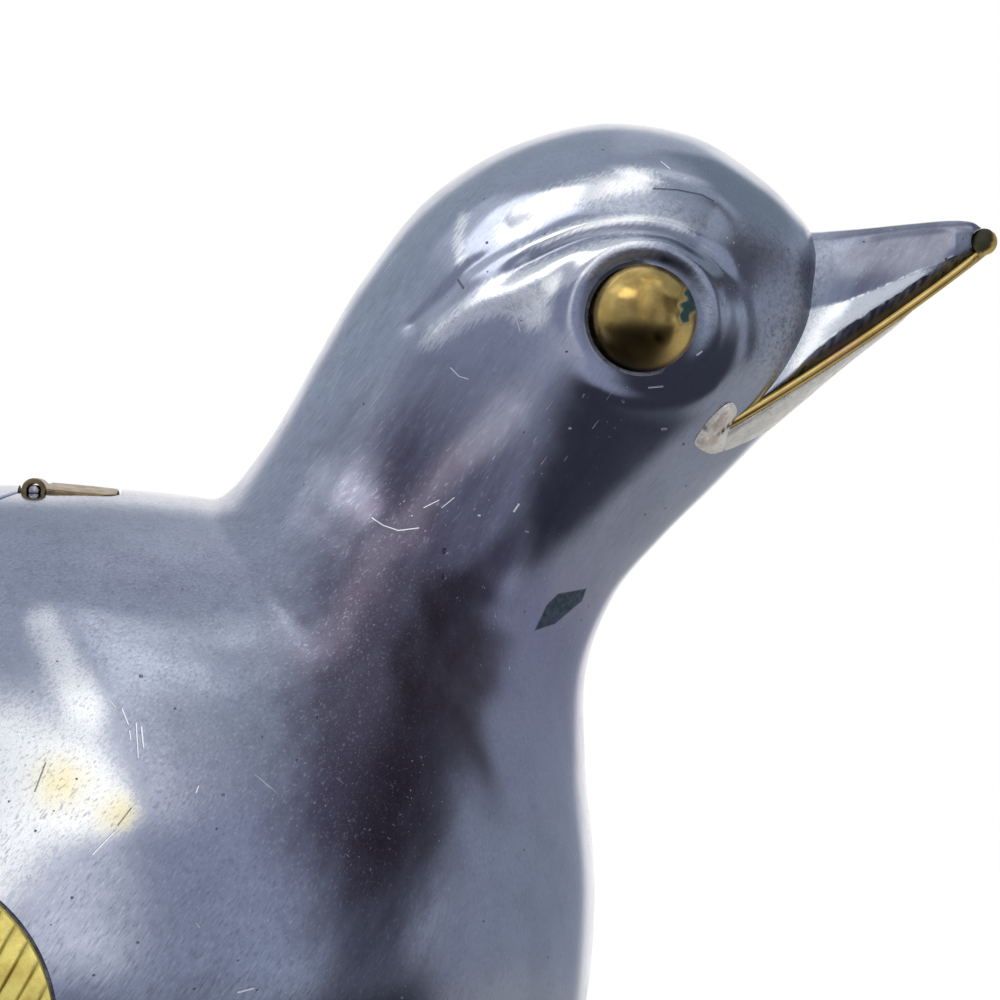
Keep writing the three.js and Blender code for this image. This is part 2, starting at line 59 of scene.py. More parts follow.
def grid_faces(rows, columns, closed_rows=False, closed_columns=False):
    """Four-sided faces between neighbouring points of a grid, which may close on itself either way."""
    r = np.arange(rows if closed_rows else rows - 1)
    c = np.arange(columns if closed_columns else columns - 1)
    r, c = np.meshgrid(r, c, indexing="ij")
    up, right = (r + 1) % rows, (c + 1) % columns
    corners = [r * columns + c, up * columns + c, up * columns + right, r * columns + right]
    return np.stack(corners, -1).reshape(-1, 4)


def enclosed_volume(points, faces):
    """Sum of the volumes of the pyramids from the origin to each face, positive if the faces face out."""
    a, b, c = points[faces[:, 0]], points[faces[:, 1]], points[faces[:, 2]]
    volume = np.einsum("ij,ij->", a, np.cross(b, c))
    if faces.shape[1] == 4:
        volume += np.einsum("ij,ij->", a, np.cross(c, points[faces[:, 3]]))
    return volume / 6


def add_object(name, data):
    """A new object that shows a mesh, a camera or a lamp."""
    made = bpy.data.objects.new(name, data)
    bpy.context.scene.collection.objects.link(made)
    return made


def shade(piece, sharp_over=35):
    """Smooth shading, with edges that turn by more than so many degrees kept sharp."""
    piece.data.shade_smooth()
    piece.data.set_sharp_from_angle(angle=math.radians(sharp_over))


def mesh_piece(name, points, face_sets, material, sharp_over=40):
    """A mesh object from points in millimetres and one or more arrays of faces, all facing outwards."""
    points = np.asarray(points, float).reshape(-1, 3)
    if sum(enclosed_volume(points, faces) for faces in face_sets) < 0:
        face_sets = [faces[:, ::-1] for faces in face_sets]
    faces = [face for faces in face_sets for face in faces.tolist()]
    mesh = bpy.data.meshes.new(name)
    mesh.from_pydata((points * MM).tolist(), [], faces)
    mesh.validate()
    mesh.materials.append(material)
    piece = add_object(name, mesh)
    shade(piece, sharp_over)
    return piece


def loft(name, rings, material, sharp_over=40):
    """Rings of points joined into a closed tube. Each end is closed by a fan from its middle."""
    rings = np.asarray(rings, float)
    count, sides = rings.shape[:2]
    points = np.concatenate([rings.reshape(-1, 3), rings[[0, -1]].mean(1)])
    walls = grid_faces(count, sides, closed_columns=True)
    j = np.arange(sides)
    after = (j + 1) % sides
    start = np.stack([np.full(sides, count * sides), j, after], 1)
    last = (count - 1) * sides
    end = np.stack([np.full(sides, count * sides + 1), last + after, last + j], 1)
    return mesh_piece(name, points, [walls, start, end], material, sharp_over)


def turned_rings(profile, centre, sides):
    """Rings of a profile of radius and place across the bird, turned about a line that runs across."""
    radius, y = np.asarray(profile, float).T[..., None]
    turn = np.linspace(0, 2 * math.pi, sides, endpoint=False)
    x = centre[0] + radius * np.cos(turn)
    return np.stack([x, y + 0 * x, centre[1] + radius * np.sin(turn)], -1)


def turned(name, profile, centre, material, sides=40, sharp_over=35):
    """A solid turned from a profile, with its middle line at x, z."""
    return loft(name, turned_rings(profile, centre, sides), material, sharp_over)


def box_solid(name, low, high, material):
    """A box between two corners."""
    corners = [[(low, high)[(i >> k) & 1][k] for k in range(3)] for i in range(8)]
    faces = np.array([[0, 1, 3, 2], [4, 6, 7, 5], [0, 4, 5, 1], [2, 3, 7, 6], [0, 2, 6, 4], [1, 5, 7, 3]])
    return mesh_piece(name, corners, [faces], material)


# %% [markdown]
# Where one piece is let into another, as the wings and eyes are here, or where the lid is cut from
# the back, the cut is made with a boolean modifier. It is applied at once, so the finished piece is
# a plain mesh. The cut faces take the cutter's material, which gives the sheet's inside its own look.


# %% Cutting, joining and fitting
RIGHT, LEFT = -1, 1


def combine(piece, other, operation):
    """Cuts another closed mesh from the piece, joins it on, or keeps only what they share."""
    step = piece.modifiers.new("step", "BOOLEAN")
    step.solver = "MANIFOLD"
    step.operation = operation
    step.object = other
    step.material_mode = "TRANSFER"
    graph = bpy.context.evaluated_depsgraph_get()
    made = bpy.data.meshes.new_from_object(piece.evaluated_get(graph))
    piece.modifiers.clear()
    old, piece.data = piece.data, made
    made.name = piece.name
    bpy.data.meshes.remove(old)
    bpy.data.objects.remove(other)


def cut_away(piece, *cutters):
    """Cuts closed meshes from the piece, one after the other."""
    for cutter in cutters:
        combine(piece, cutter, "DIFFERENCE")


def fit(piece, body, slot, *nodes):
    """Lets the piece ride on a body of the solid model and stand for its nodes."""
    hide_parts(*nodes)
    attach(piece, body)
    print(piece.name, "has", len(piece.data.polygons), "faces and stands for", ", ".join(nodes))


def fit_both(make, name, slot, node):
    """Makes a piece for the right side and one for the left, and fits each to its node."""
    for side, word in ((RIGHT, "right"), (LEFT, "left")):
        fit(make(f"{name}_{word}", side), "body", slot, f"{node}_{word}")


# %% [markdown]
# The camera looks level at the bird's right side, as the photograph does, so close that only the
# head, neck and shoulder are in the frame. A long lens from far away keeps the outline true.

# %% Camera
FRAME_WIDTH = 80.0
FRAME_MIDDLE = (44.12, 75.2)
CAMERA_DISTANCE = 1200.0
SENSOR_WIDTH = 36.0
FARTHEST_SEEN = 100

camera_data = bpy.data.cameras.new("camera")
camera_data.sensor_width = SENSOR_WIDTH
camera_data.lens = SENSOR_WIDTH * CAMERA_DISTANCE / FRAME_WIDTH
camera_data.clip_end = FARTHEST_SEEN
camera = add_object("camera", camera_data)
camera.location = (FRAME_MIDDLE[0] * MM, -CAMERA_DISTANCE * MM, FRAME_MIDDLE[1] * MM)
camera.rotation_euler = (math.radians(90), 0, 0)
bpy.context.scene.camera = camera
print("lens of", round(camera_data.lens), "mm")

# %% [markdown]
# The skin. Each row of the table is a section across the bird, from the tail to the front of the
# head: an oval that runs from a point on the back line to a point on the belly line. A smooth curve
# through each column gives the sections in between, so the whole bird is a function of two numbers:
# how far along the sections, and the angle round the oval.

# %% Sections: back x, back z, belly x, belly z, half width, roundness
SECTIONS = np.array(
    [
        [-83.9, 47.6, -83.9, 45.2, 7.5, 2.6],
        [-82.2, 49.2, -82.6, 43.9, 10.2, 2.5],
        [-77.5, 51.2, -78.5, 42.6, 12.2, 2.3],
        [-70.5, 54.0, -71.5, 40.0, 14.2, 2.2],
        [-62.0, 57.8, -63.5, 35.5, 17.2, 2.1],
        [-52.0, 62.6, -54.0, 28.5, 21.8, 2],
        [-41.0, 67.8, -43.5, 19.8, 27.0, 2],
        [-29.0, 72.2, -32.0, 10.8, 31.2, 2],
        [-17.0, 75.1, -18.5, 3.2, 34.0, 2],
        [-6.0, 76.4, -4.0, -1.6, 35.0, 2],
        [3.5, 76.5, 11.0, -2.8, 34.9, 2],
        [10.8, 76.3, 25.0, -0.4, 33.8, 2],
        [16.0, 75.9, 36.5, 6.4, 31.4, 2],
        [19.4, 75.5, 45.0, 17.0, 28.2, 2],
        [21.4, 75.3, 50.0, 30.0, 24.9, 2],
        [22.8, 76.2, 51.7, 43.2, 21.6, 2],
        [24.4, 78.1, 50.9, 54.0, 18.4, 2],
        [26.6, 81.3, 50.9, 61.6, 15.8, 2],
        [29.7, 87.0, 53.2, 67.5, 14.2, 2],
        [33.4, 93.1, 57.0, 72.1, 13.6, 2],
        [38.2, 99.1, 61.0, 76.1, 13.7, 2.05],
        [44.8, 103.4, 64.0, 79.1, 13.5, 2.1],
        [52.1, 105.3, 66.2, 81.4, 12.4, 2.1],
        [59.4, 104.3, 67.7, 83.9, 10.4, 2.1],
        [65.0, 100.9, 68.9, 87.8, 7.7, 2.1],
        [68.0, 98.0, 69.4, 91.9, 4.7, 2],
        [69.0, 96.6, 69.6, 93.6, 2.4, 2],
    ]
)
LAST = len(SECTIONS) - 1
HEAD_FROM = 16
SLOPE_STEP = 0.01
HALVINGS = 30


# %% The skin as a function of two numbers
def run_through(rows, at):
    """A cubic between each pair of rows, whose slope at a row comes from the rows on either side."""
    rows = np.asarray(rows, float)
    before = 2 * rows[:1] - rows[1:2]
    after = 2 * rows[-1:] - rows[-2:-1]
    padded = np.concatenate([before, rows, after])
    at = np.asarray(at, float)
    i = np.clip(np.floor(at).astype(int), 0, len(rows) - 2)
    t = (at - i).reshape(at.shape + (1,) * (rows.ndim - 1))
    a, b, c, d = (padded[i + k] for k in range(4))
    m, n = (c - a) / 2, (d - b) / 2
    return b + t * (m + t * (3 * (c - b) - 2 * m - n + t * (2 * (b - c) + m + n)))


def smooth_line(points, count):
    """Evenly numbered points of a smooth curve through the given ones."""
    return run_through(points, np.linspace(0, len(points) - 1, count))


def section_at(at, depth=0.0):
    """Middle, half length, half width and roundness of a section, moved inwards by a depth."""
    at = np.asarray(at, float)
    row = run_through(SECTIONS, at)
    low, high = np.maximum(at - SLOPE_STEP, 0), np.minimum(at + SLOPE_STEP, LAST)
    slope = run_through(SECTIONS, high) - run_through(SECTIONS, low)
    ends = []
    for k, side in ((0, 1), (2, -1)):
        dx, dz = slope[..., k], slope[..., k + 1]
        scale = side * depth / np.hypot(dx, dz)
        ends.append((row[..., k] + dz * scale, row[..., k + 1] - dx * scale))
    (back_x, back_z), (belly_x, belly_z) = ends
    middle = np.stack([(back_x + belly_x) / 2, (back_z + belly_z) / 2], -1)
    half = np.stack([(back_x - belly_x) / 2, (back_z - belly_z) / 2], -1)
    return middle, half, row[..., 4] - depth, row[..., 5]


def skin(at, angle, depth=0.0):
    """Point of the skin. Going round a section, the cosine of the angle runs from back to belly and
    the sine gives the width, and each is raised to a power that makes the oval rounder or squarer."""
    middle, half, half_width, roundness = section_at(at, depth)
    cosine, sine = np.cos(angle), np.sin(angle)
    along = np.sign(cosine) * np.abs(cosine) ** (2 / roundness)
    across = np.sign(sine) * np.abs(sine) ** (2 / roundness)
    x = middle[..., 0] + half[..., 0] * along
    z = middle[..., 1] + half[..., 1] * along
    return np.stack([x, half_width * across, z], -1)


def width_at(x, z, depth=0.0):
    """Half width of the skin at a point of the side view. The range of sections is halved until the
    section's line from back to belly passes through the point."""
    x, z = np.broadcast_arrays(np.asarray(x, float), np.asarray(z, float))
    low, high = np.zeros(x.shape), np.full(x.shape, float(LAST))
    for _ in range(HALVINGS):
        at = (low + high) / 2
        middle, half, _, _ = section_at(at, depth)
        past = (z - middle[..., 1]) * half[..., 0] - (x - middle[..., 0]) * half[..., 1]
        high = np.where(past > 0, at, high)
        low = np.where(past > 0, low, at)
    middle, half, half_width, roundness = section_at(at, depth)
    reach = (half**2).sum(-1)
    along = ((x - middle[..., 0]) * half[..., 0] + (z - middle[..., 1]) * half[..., 1]) / reach
    return half_width * np.clip(1 - np.abs(along) ** roundness, 0, 1) ** (1 / roundness)


print("bird is", SECTIONS[:, 0].max() - SECTIONS[:, 0].min(), "mm from tail to the front of the head")

# %% [markdown]
# The lid, the hinge leaves and the thumb tab follow the back, and are laid out looking down on the
# lid. So a second function finds the point of the skin that lies under a given point of that plan.
# It starts from a guess and corrects it by the slope of the skin a few times, for all points at once.

# %% Lid frame and plan view
LID_FRONT_X = 7.0
LID_REAR_X = -57.0
LID_HALF_WIDTH = 21.0
BACK_STEPS = np.linspace(0, LAST, 1301)
WIDEST_SINE = 0.98
CORRECTIONS = 12
PROBE = 1e-4
back_line = skin(BACK_STEPS, 0 * BACK_STEPS)


def back_height(x):
    """Height of the back line at x."""
    return float(np.interp(x, back_line[:, 0], back_line[:, 2]))


lid_rise = back_height(LID_FRONT_X) - back_height(LID_REAR_X)
lid_run = LID_FRONT_X - LID_REAR_X
LID_TILT = math.atan2(lid_rise, lid_run)
LID_HALF_LENGTH = math.hypot(lid_run, lid_rise) / 2
LID_MIDDLE = np.array([LID_FRONT_X - lid_run / 2, 0, back_height(LID_FRONT_X) - lid_rise / 2])


def skin_under(p, y, depth=0.0, tilt=LID_TILT, middle=LID_MIDDLE):
    """Point of the skin whose place along the tilted plan is p and whose place across it is y."""
    p, y, depth = np.broadcast_arrays(np.asarray(p, float), np.asarray(y, float), np.asarray(depth, float))
    along = np.array([math.cos(tilt), 0, math.sin(tilt)])
    at = np.interp(middle[0] + p * along[0], back_line[:, 0], BACK_STEPS)
    angle = np.arcsin(np.clip(y / (section_at(at, depth)[2]), -WIDEST_SINE, WIDEST_SINE))

    def miss(at, angle):
        point = skin(at, angle, depth)
        return (point - middle) @ along - p, point[..., 1] - y

    for _ in range(CORRECTIONS):
        miss_p, miss_y = miss(at, angle)
        p_at, y_at = miss(at + PROBE, angle)
        p_angle, y_angle = miss(at, angle + PROBE)
        a, b = (p_at - miss_p) / PROBE, (p_angle - miss_p) / PROBE
        c, d = (y_at - miss_y) / PROBE, (y_angle - miss_y) / PROBE
        area = a * d - b * c
        at = np.clip(at - (d * miss_p - b * miss_y) / area, 0, LAST)
        angle = angle - (a * miss_y - c * miss_p) / area
    return skin(at, angle, depth)


lid_angle = round(math.degrees(LID_TILT), 1)
print("lid is", round(2 * LID_HALF_LENGTH, 1), "mm long, tilted by", lid_angle, "degrees")

# %% [markdown]
# Finishes. The bird is pewter with a blue-grey tarnish that turns violet in patches. Under a lens it
# shows fine polishing lines, longer scratches, small pits and a cloudy bloom, so each of these is
# one layer of noise. All of them read object coordinates, so nothing slides over the metal. Marks
# that belong to one place, such as dull solder or a dark chip, come from numbers kept in the mesh.


# %% Small helpers for material nodes
def colour(red, green, blue):
    """Four numbers for a colour socket."""
    return (red, green, blue, 1.0)


def set_socket(tree, socket, value):
    """Joins a socket to another one, or gives it a value."""
    if isinstance(value, bpy.types.NodeSocket):
        tree.links.new(value, socket)
    else:
        socket.default_value = value


def add_node(tree, kind, inputs=None, **settings):
    """A shader node with its settings and its inputs."""
    node = tree.nodes.new("ShaderNode" + kind)
    for name, value in settings.items():
        setattr(node, name, value)
    for key, value in (inputs or {}).items():
        set_socket(tree, node.inputs[key], value)
    return node


def lay_over(tree, base, *layers):
    """Colours laid one over the other, each covering as much as its share says."""
    for share, layer in layers:
        inputs = {0: share, 6: base, 7: layer}
        base = add_node(tree, "Mix", inputs, data_type="RGBA", clamp_factor=True).outputs[2]
    return base


def spread(tree, value, low, high, to_low=0.0, to_high=1.0):
    """Maps a range of a value smoothly onto another range, held at its ends."""
    inputs = {"Value": value, "From Min": low, "From Max": high, "To Min": to_low, "To Max": to_high}
    return add_node(tree, "MapRange", inputs, interpolation_type="SMOOTHSTEP").outputs[0]


def reckon(tree, operation, first, *others):
    """One sum carried through two or more numbers or sockets."""
    for other in others:
        first = add_node(tree, "Math", {0: first, 1: other}, operation=operation).outputs[0]
    return first


def times(tree, first, second):
    """The product of two numbers or sockets."""
    return reckon(tree, "MULTIPLY", first, second)


def vector_sum(tree, operation, first, second, output=0):
    """One sum on two vectors or sockets."""
    return add_node(tree, "VectorMath", {0: first, 1: second}, operation=operation).outputs[output]


def noise(tree, place, size, detail=4.0, rough=0.55):
    """Cloudy noise whose patches are about so many millimetres across."""
    inputs = {"Vector": place, "Scale": 1 / (size * MM), "Detail": detail, "Roughness": rough}
    return add_node(tree, "TexNoise", inputs).outputs["Fac"]


def drawn_out(tree, place, rise, stretch):
    """Coordinates drawn out along a line of the side view that rises by an angle towards the beak."""
    inputs = {"Vector": place, "Rotation": (0, -math.radians(rise), 0), "Scale": (stretch, 1, 1)}
    return add_node(tree, "Mapping", inputs, vector_type="TEXTURE").outputs[0]


def kept_numbers(tree, *names):
    """Numbers that the mesh keeps at each point."""
    return [add_node(tree, "Attribute", attribute_name=name).outputs["Fac"] for name in names]


def start_material(name):
    """A new material, its node tree and the object coordinates."""
    material = bpy.data.materials.new(name)
    material.use_nodes = True
    tree = material.node_tree
    return material, tree, add_node(tree, "TexCoord").outputs["Object"]


def finished(material, base, metallic, rough, gains, heights):
    """Joins the finish to the main shader. Each gain adds to the roughness as much as its share says,
    and each height turns the shading as if the surface stood so many millimetres high where it is 1."""
    tree = material.node_tree
    for share, gain in gains:
        rough = reckon(tree, "ADD", rough, times(tree, share, gain))
    below = {}
    for height, depth in heights:
        inputs = {"Height": height, "Distance": depth * MM, "Strength": 1.0, **below}
        below = {"Normal": add_node(tree, "Bump", inputs).outputs[0]}
    shader = tree.nodes["Principled BSDF"]
    for name, value in {"Base Color": base, "Metallic": metallic, "Roughness": rough, **below}.items():
        set_socket(tree, shader.inputs[name], value)
    return material


# %% Scratches and pits
# Noise scratches: rise of the line in degrees, stretch, size and where the crests are cut off
SCRATCHES = ((52, 30, 1.3, 0.71), (-38, 40, 1.9, 0.735), (80, 34, 2.6, 0.74))
# Single scratches of the shown side, each a half width and a run of points x, z
BRIGHT_SCRATCHES = [
    (0.055, [(34.0, 73.8), (34.9, 73.2), (36.1, 72.8), (37.7, 73.0)]),
    (0.05, [(13.5, 59.7), (14.1, 59.0)]),
    (0.07, [(14.6, 58.9), (15.1, 57.7)]),
    (0.06, [(15.2, 57.2), (15.3, 56.5)]),
    (0.06, [(15.7, 57.8), (15.9, 55.1)]),
    (0.07, [(16.1, 57.5), (16.3, 55.9)]),
    (0.05, [(12.4, 47.6), (14.1, 49.4)]),
    (0.05, [(20.6, 52.9), (20.4, 52.4)]),
    (0.06, [(20.5, 42.3), (20.7, 42.0)]),
    (0.09, [(23.7, 36.9), (24.9, 37.2)]),
    (0.045, [(38.1, 74.6), (39.3, 75.2)]),
    (0.045, [(39.5, 74.6), (40.5, 75.4)]),
    (0.05, [(44.9, 91.2), (45.7, 88.6)]),
    (0.045, [(56.9, 102.1), (57.6, 101.5)]),
    (0.045, [(40.2, 85.7), (40.9, 85.0), (41.6, 84.8)]),
    (0.06, [(59.7, 86.7), (60.1, 87.0)]),
    (0.05, [(55.9, 84.1), (57.0, 84.2)]),
    (0.08, [(57.0, 80.8), (57.3, 80.8)]),
    (0.09, [(42.4, 74.0), (42.5, 74.0)]),
    (0.08, [(45.6, 74.9), (45.2, 74.3)]),
    (0.08, [(46.2, 72.7), (46.3, 72.7)]),
    (0.08, [(49.6, 80.9), (49.7, 80.9)]),
]
DARK_SCRATCHES = [
    (0.05, [(56.3, 99.9), (58.2, 99.8), (60.2, 99.4), (61.1, 98.9)]),
    (0.09, [(40.8, 92.6), (41.2, 92.0)]),
    (0.05, [(8.7, 54.7), (7.9, 52.5)]),
    (0.045, [(14.4, 49.9), (15.4, 51.2)]),
    (0.10, [(16.0, 61.4), (16.1, 61.4)]),
    (0.09, [(22.5, 52.2), (22.6, 52.2)]),
    (0.17, [(39.75, 71.2), (39.8, 71.1)]),
    (0.15, [(39.65, 69.2), (39.7, 69.1)]),
    (0.045, [(79.2, 94.0), (80.6, 94.6)]),
]
CHIP = [(50.96, 68.16), (50.64, 67.2), (48.4, 65.36), (46.88, 64.88), (47.84, 66.88), (48.72, 67.76)]
CHIP_SOFT = 0.07
PIT_SPACING = 1.6


def scratch_lines(tree, place):
    """Noise drawn out along three directions, cut off so that only its thin crests are left."""
    crests = []
    for rise, stretch, size, cut in SCRATCHES:
        drawn = drawn_out(tree, place, rise, stretch)
        crests.append(spread(tree, noise(tree, drawn, size * 0.12, 2.0, 0.6), cut, cut + 0.03))
    patches = spread(tree, noise(tree, place, 9.0, 2.0), 0.45, 0.62)
    return times(tree, reckon(tree, "MAXIMUM", *crests), patches)


def single_scratches(tree, flat, scratches):
    """1 on the scratches: the distance to each of their straight stretches, cut off at half a width.
    The nearest point of a stretch lies at the dot product with its direction, held to its length."""
    marks = []
    for half_width, points in scratches:
        for (x0, z0), (x1, z1) in zip(points, points[1:]):
            length = math.hypot(x1 - x0, z1 - z0)
            along = ((x1 - x0) / length, 0, (z1 - z0) / length)
            from_start = vector_sum(tree, "SUBTRACT", flat, (x0 * MM, 0, z0 * MM))
            run = vector_sum(tree, "DOT_PRODUCT", from_start, along, 1)
            run = add_node(tree, "Clamp", {"Value": run, "Min": 0.0, "Max": length * MM}).outputs[0]
            nearest = add_node(tree, "VectorMath", {0: along, "Scale": run}, operation="SCALE").outputs[0]
            away = vector_sum(tree, "DISTANCE", from_start, nearest, 1)
            marks.append(spread(tree, away, 0.5 * half_width * MM, 1.3 * half_width * MM, 1.0, 0.0))
    return reckon(tree, "MAXIMUM", *marks)


def inside(tree, flat, corners, soft):
    """1 inside a many-sided figure of the side view: the least of the distances to its sides."""
    depths = []
    for (x0, z0), (x1, z1) in zip(corners, corners[1:] + corners[:1]):
        length = math.hypot(x1 - x0, z1 - z0)
        inwards = ((z1 - z0) / length, 0, -(x1 - x0) / length)
        offset = (inwards[0] * x0 + inwards[2] * z0) * MM
        depths.append(reckon(tree, "SUBTRACT", vector_sum(tree, "DOT_PRODUCT", flat, inwards, 1), offset))
    return spread(tree, reckon(tree, "MINIMUM", *depths), -soft * MM, soft * MM)


def pits(tree, place):
    """Round pits at random, about one in every few square millimetres."""
    inputs = {"Vector": place, "Scale": 1 / (PIT_SPACING * MM), "Randomness": 1.0}
    cells = add_node(tree, "TexVoronoi", inputs, feature="F1")
    here = spread(tree, cells.outputs["Distance"], 0.03, 0.085, 1.0, 0.0)
    chosen = spread(tree, add_node(tree, "SeparateColor", {0: cells.outputs["Color"]}).outputs[0], 0.6, 0.62)
    return times(tree, here, chosen)


# %% Pewter
def make_pewter():
    """Polished pewter, blue-grey with violet patches. Where the mesh says so it has a brown tint, which on
    the neck is a painted dark reflection, painted highlights, warm in places, dull worn patches, and dark
    marks that are painted shade in the folds and round the eye and real gouges elsewhere. Single scratches
    and a chip lie on the shown side only."""
    material, tree, place = start_material("pewter")
    names = ("violet", "dark", "worn", "brown_tint", "painted_highlight", "warm")
    violet, dark, worn, brown_tint, painted_highlight, warm = kept_numbers(tree, *names)
    axes = add_node(tree, "SeparateXYZ", {0: place})
    flat = add_node(tree, "CombineXYZ", {0: axes.outputs[0], 2: axes.outputs[2]}).outputs[0]
    shown = spread(tree, axes.outputs[1], -0.8 * MM, 0.8 * MM, 1.0, 0.0)
    brushed = spread(tree, axes.outputs[0], 18 * MM, 50 * MM, 1.0, 0.35)

    clouds = noise(tree, place, 5.0, 5.0, 0.58)
    streaks = noise(tree, drawn_out(tree, place, 60, 9), 1.6, 4.0, 0.6)
    strokes = noise(tree, drawn_out(tree, place, 53, 7), 0.20, 3.0, 0.62)
    mottle = noise(tree, place, 0.42, 4.0, 0.72)
    bruises = spread(tree, noise(tree, place, 1.3, 5.0, 0.65), 0.46, 0.72, 0.0, 0.42)
    specks = spread(tree, noise(tree, place, 0.45, 3.0, 0.7), 0.56, 0.74)

    tint = reckon(tree, "ADD", spread(tree, noise(tree, place, 22.0, 3.0), 0.42, 0.70, 0.0, 0.45), violet)
    brown = reckon(tree, "ADD", brown_tint, spread(tree, streaks, 0.3, 0.7, -0.09, 0.09))
    brown = times(tree, spread(tree, brown, 0.0, 1.0), spread(tree, brown_tint, 0.02, 0.25))
    highlight_share = reckon(tree, "ADD", painted_highlight, spread(tree, strokes, 0.30, 0.70, -0.22, 0.22))
    highlight_share = times(tree, spread(tree, highlight_share, 0.2, 0.9), spread(tree, painted_highlight, 0.05, 0.3))
    grain = times(tree, spread(tree, strokes, 0.50, 0.72, 0.0, 0.55), brushed)
    gleam = times(tree, spread(tree, strokes, 0.46, 0.28, 0.0, 0.40), brushed)
    grime = times(tree, worn, spread(tree, mottle, 0.40, 0.60))
    soot = times(tree, worn, spread(tree, mottle, 0.47, 0.32, 0.0, 0.6))
    single = times(tree, single_scratches(tree, flat, BRIGHT_SCRATCHES), shown)
    scratches = reckon(tree, "MAXIMUM", times(tree, scratch_lines(tree, place), 0.7), single)
    holes = pits(tree, place)
    gouges = times(tree, single_scratches(tree, flat, DARK_SCRATCHES), shown)
    chip = times(tree, inside(tree, flat, CHIP, CHIP_SOFT), shown)

    highlight_colour = lay_over(tree, colour(0.93, 0.94, 0.96), (warm, colour(0.94, 0.84, 0.52)))
    pale_slate = (spread(tree, mottle, 0.35, 0.65), colour(0.12, 0.15, 0.19))
    base = lay_over(
        tree,
        colour(0.44, 0.485, 0.58),
        (tint, colour(0.36, 0.355, 0.48)),
        (spread(tree, clouds, 0.38, 0.74, 0.0, 0.42), colour(0.30, 0.32, 0.40)),
        (times(tree, bruises, brushed), colour(0.27, 0.29, 0.38)),
        # brown tint: down the neck and its side this is a painted dark reflection
        (brown, colour(0.115, 0.095, 0.135)),
        # painted highlights, broken by the brush strokes, warm where a warm reflection is painted
        (highlight_share, highlight_colour),
        (grain, colour(0.21, 0.22, 0.30)),
        (gleam, colour(0.66, 0.70, 0.78)),
        (times(tree, specks, 0.22), colour(0.22, 0.22, 0.28)),
        (grime, colour(0.60, 0.63, 0.68)),
        (soot, colour(0.20, 0.21, 0.26)),
        (scratches, colour(0.86, 0.88, 0.91)),
        (times(tree, holes, 0.8), colour(0.12, 0.12, 0.15)),
        # dark: painted shade in the lid fold and the groove round the eye, and real gouges
        (reckon(tree, "MAXIMUM", dark, times(tree, gouges, 0.6)), colour(0.045, 0.05, 0.075)),
        (chip, lay_over(tree, colour(0.06, 0.085, 0.11), pale_slate)),
    )
    rough = spread(tree, clouds, 0.35, 0.75, 0.12, 0.22)
    gains = [(worn, 0.25), (dark, 0.25), (grain, 0.15), (chip, 0.30)]
    heights = [
        (times(tree, strokes, brushed), 0.0045),
        (noise(tree, place, 1.4, 3.0, 0.5), 0.005),
        (times(tree, scratches, -1.0), 0.02),
        (times(tree, reckon(tree, "MAXIMUM", holes, gouges, chip), -1.0), 0.06),
        (times(tree, worn, mottle), 0.06),
    ]
    return finished(material, base, 1.0, rough, gains, heights)


pewter = make_pewter()


# %% Dull metals: the lower beak, the solder, the inside of the sheet, and the pin's steel
def make_dull_metal(name, pale, stain, roughness, stained=0.5, grain=0.02, metallic=1.0):
    """A cast or soldered metal that was never polished, pale with stains in blotches."""
    material, tree, place = start_material(name)
    blotches = spread(tree, noise(tree, place, 1.6, 5.0, 0.6), 0.42, 0.66, 0.0, stained)
    specks = spread(tree, noise(tree, place, 0.35, 4.0, 0.7), 0.50, 0.75, 0.0, 0.5)
    holes = pits(tree, place)
    base = lay_over(
        tree,
        colour(*pale),
        (blotches, colour(*stain)),
        (specks, colour(*(0.45 * v for v in stain))),
        (times(tree, holes, 0.7), colour(0.07, 0.06, 0.06)),
        (*kept_numbers(tree, "dark"), colour(0.03, 0.03, 0.035)),
    )
    rough = spread(tree, noise(tree, place, 0.9, 3.0), 0.35, 0.70, roughness - 0.08, roughness + 0.10)
    heights = [
        (noise(tree, place, 0.5, 4.0, 0.65), grain),
        (noise(tree, place, 2.2, 2.0), 2 * grain),
        (times(tree, holes, -1.0), 0.06),
    ]
    return finished(material, base, metallic, rough, [], heights)


dull_pewter = make_dull_metal("dull_pewter", (0.83, 0.81, 0.76), (0.58, 0.55, 0.49), 0.38, metallic=0.7)
solder = make_dull_metal("solder", (0.83, 0.80, 0.75), (0.50, 0.40, 0.34), 0.42, 0.8, 0.04, 0.6)
sheet_inside = make_dull_metal("sheet_inside", (0.30, 0.31, 0.34), (0.19, 0.18, 0.19), 0.48, stained=0.7)
steel = make_dull_metal("steel", (0.52, 0.52, 0.52), (0.36, 0.34, 0.31), 0.30, grain=0.005)


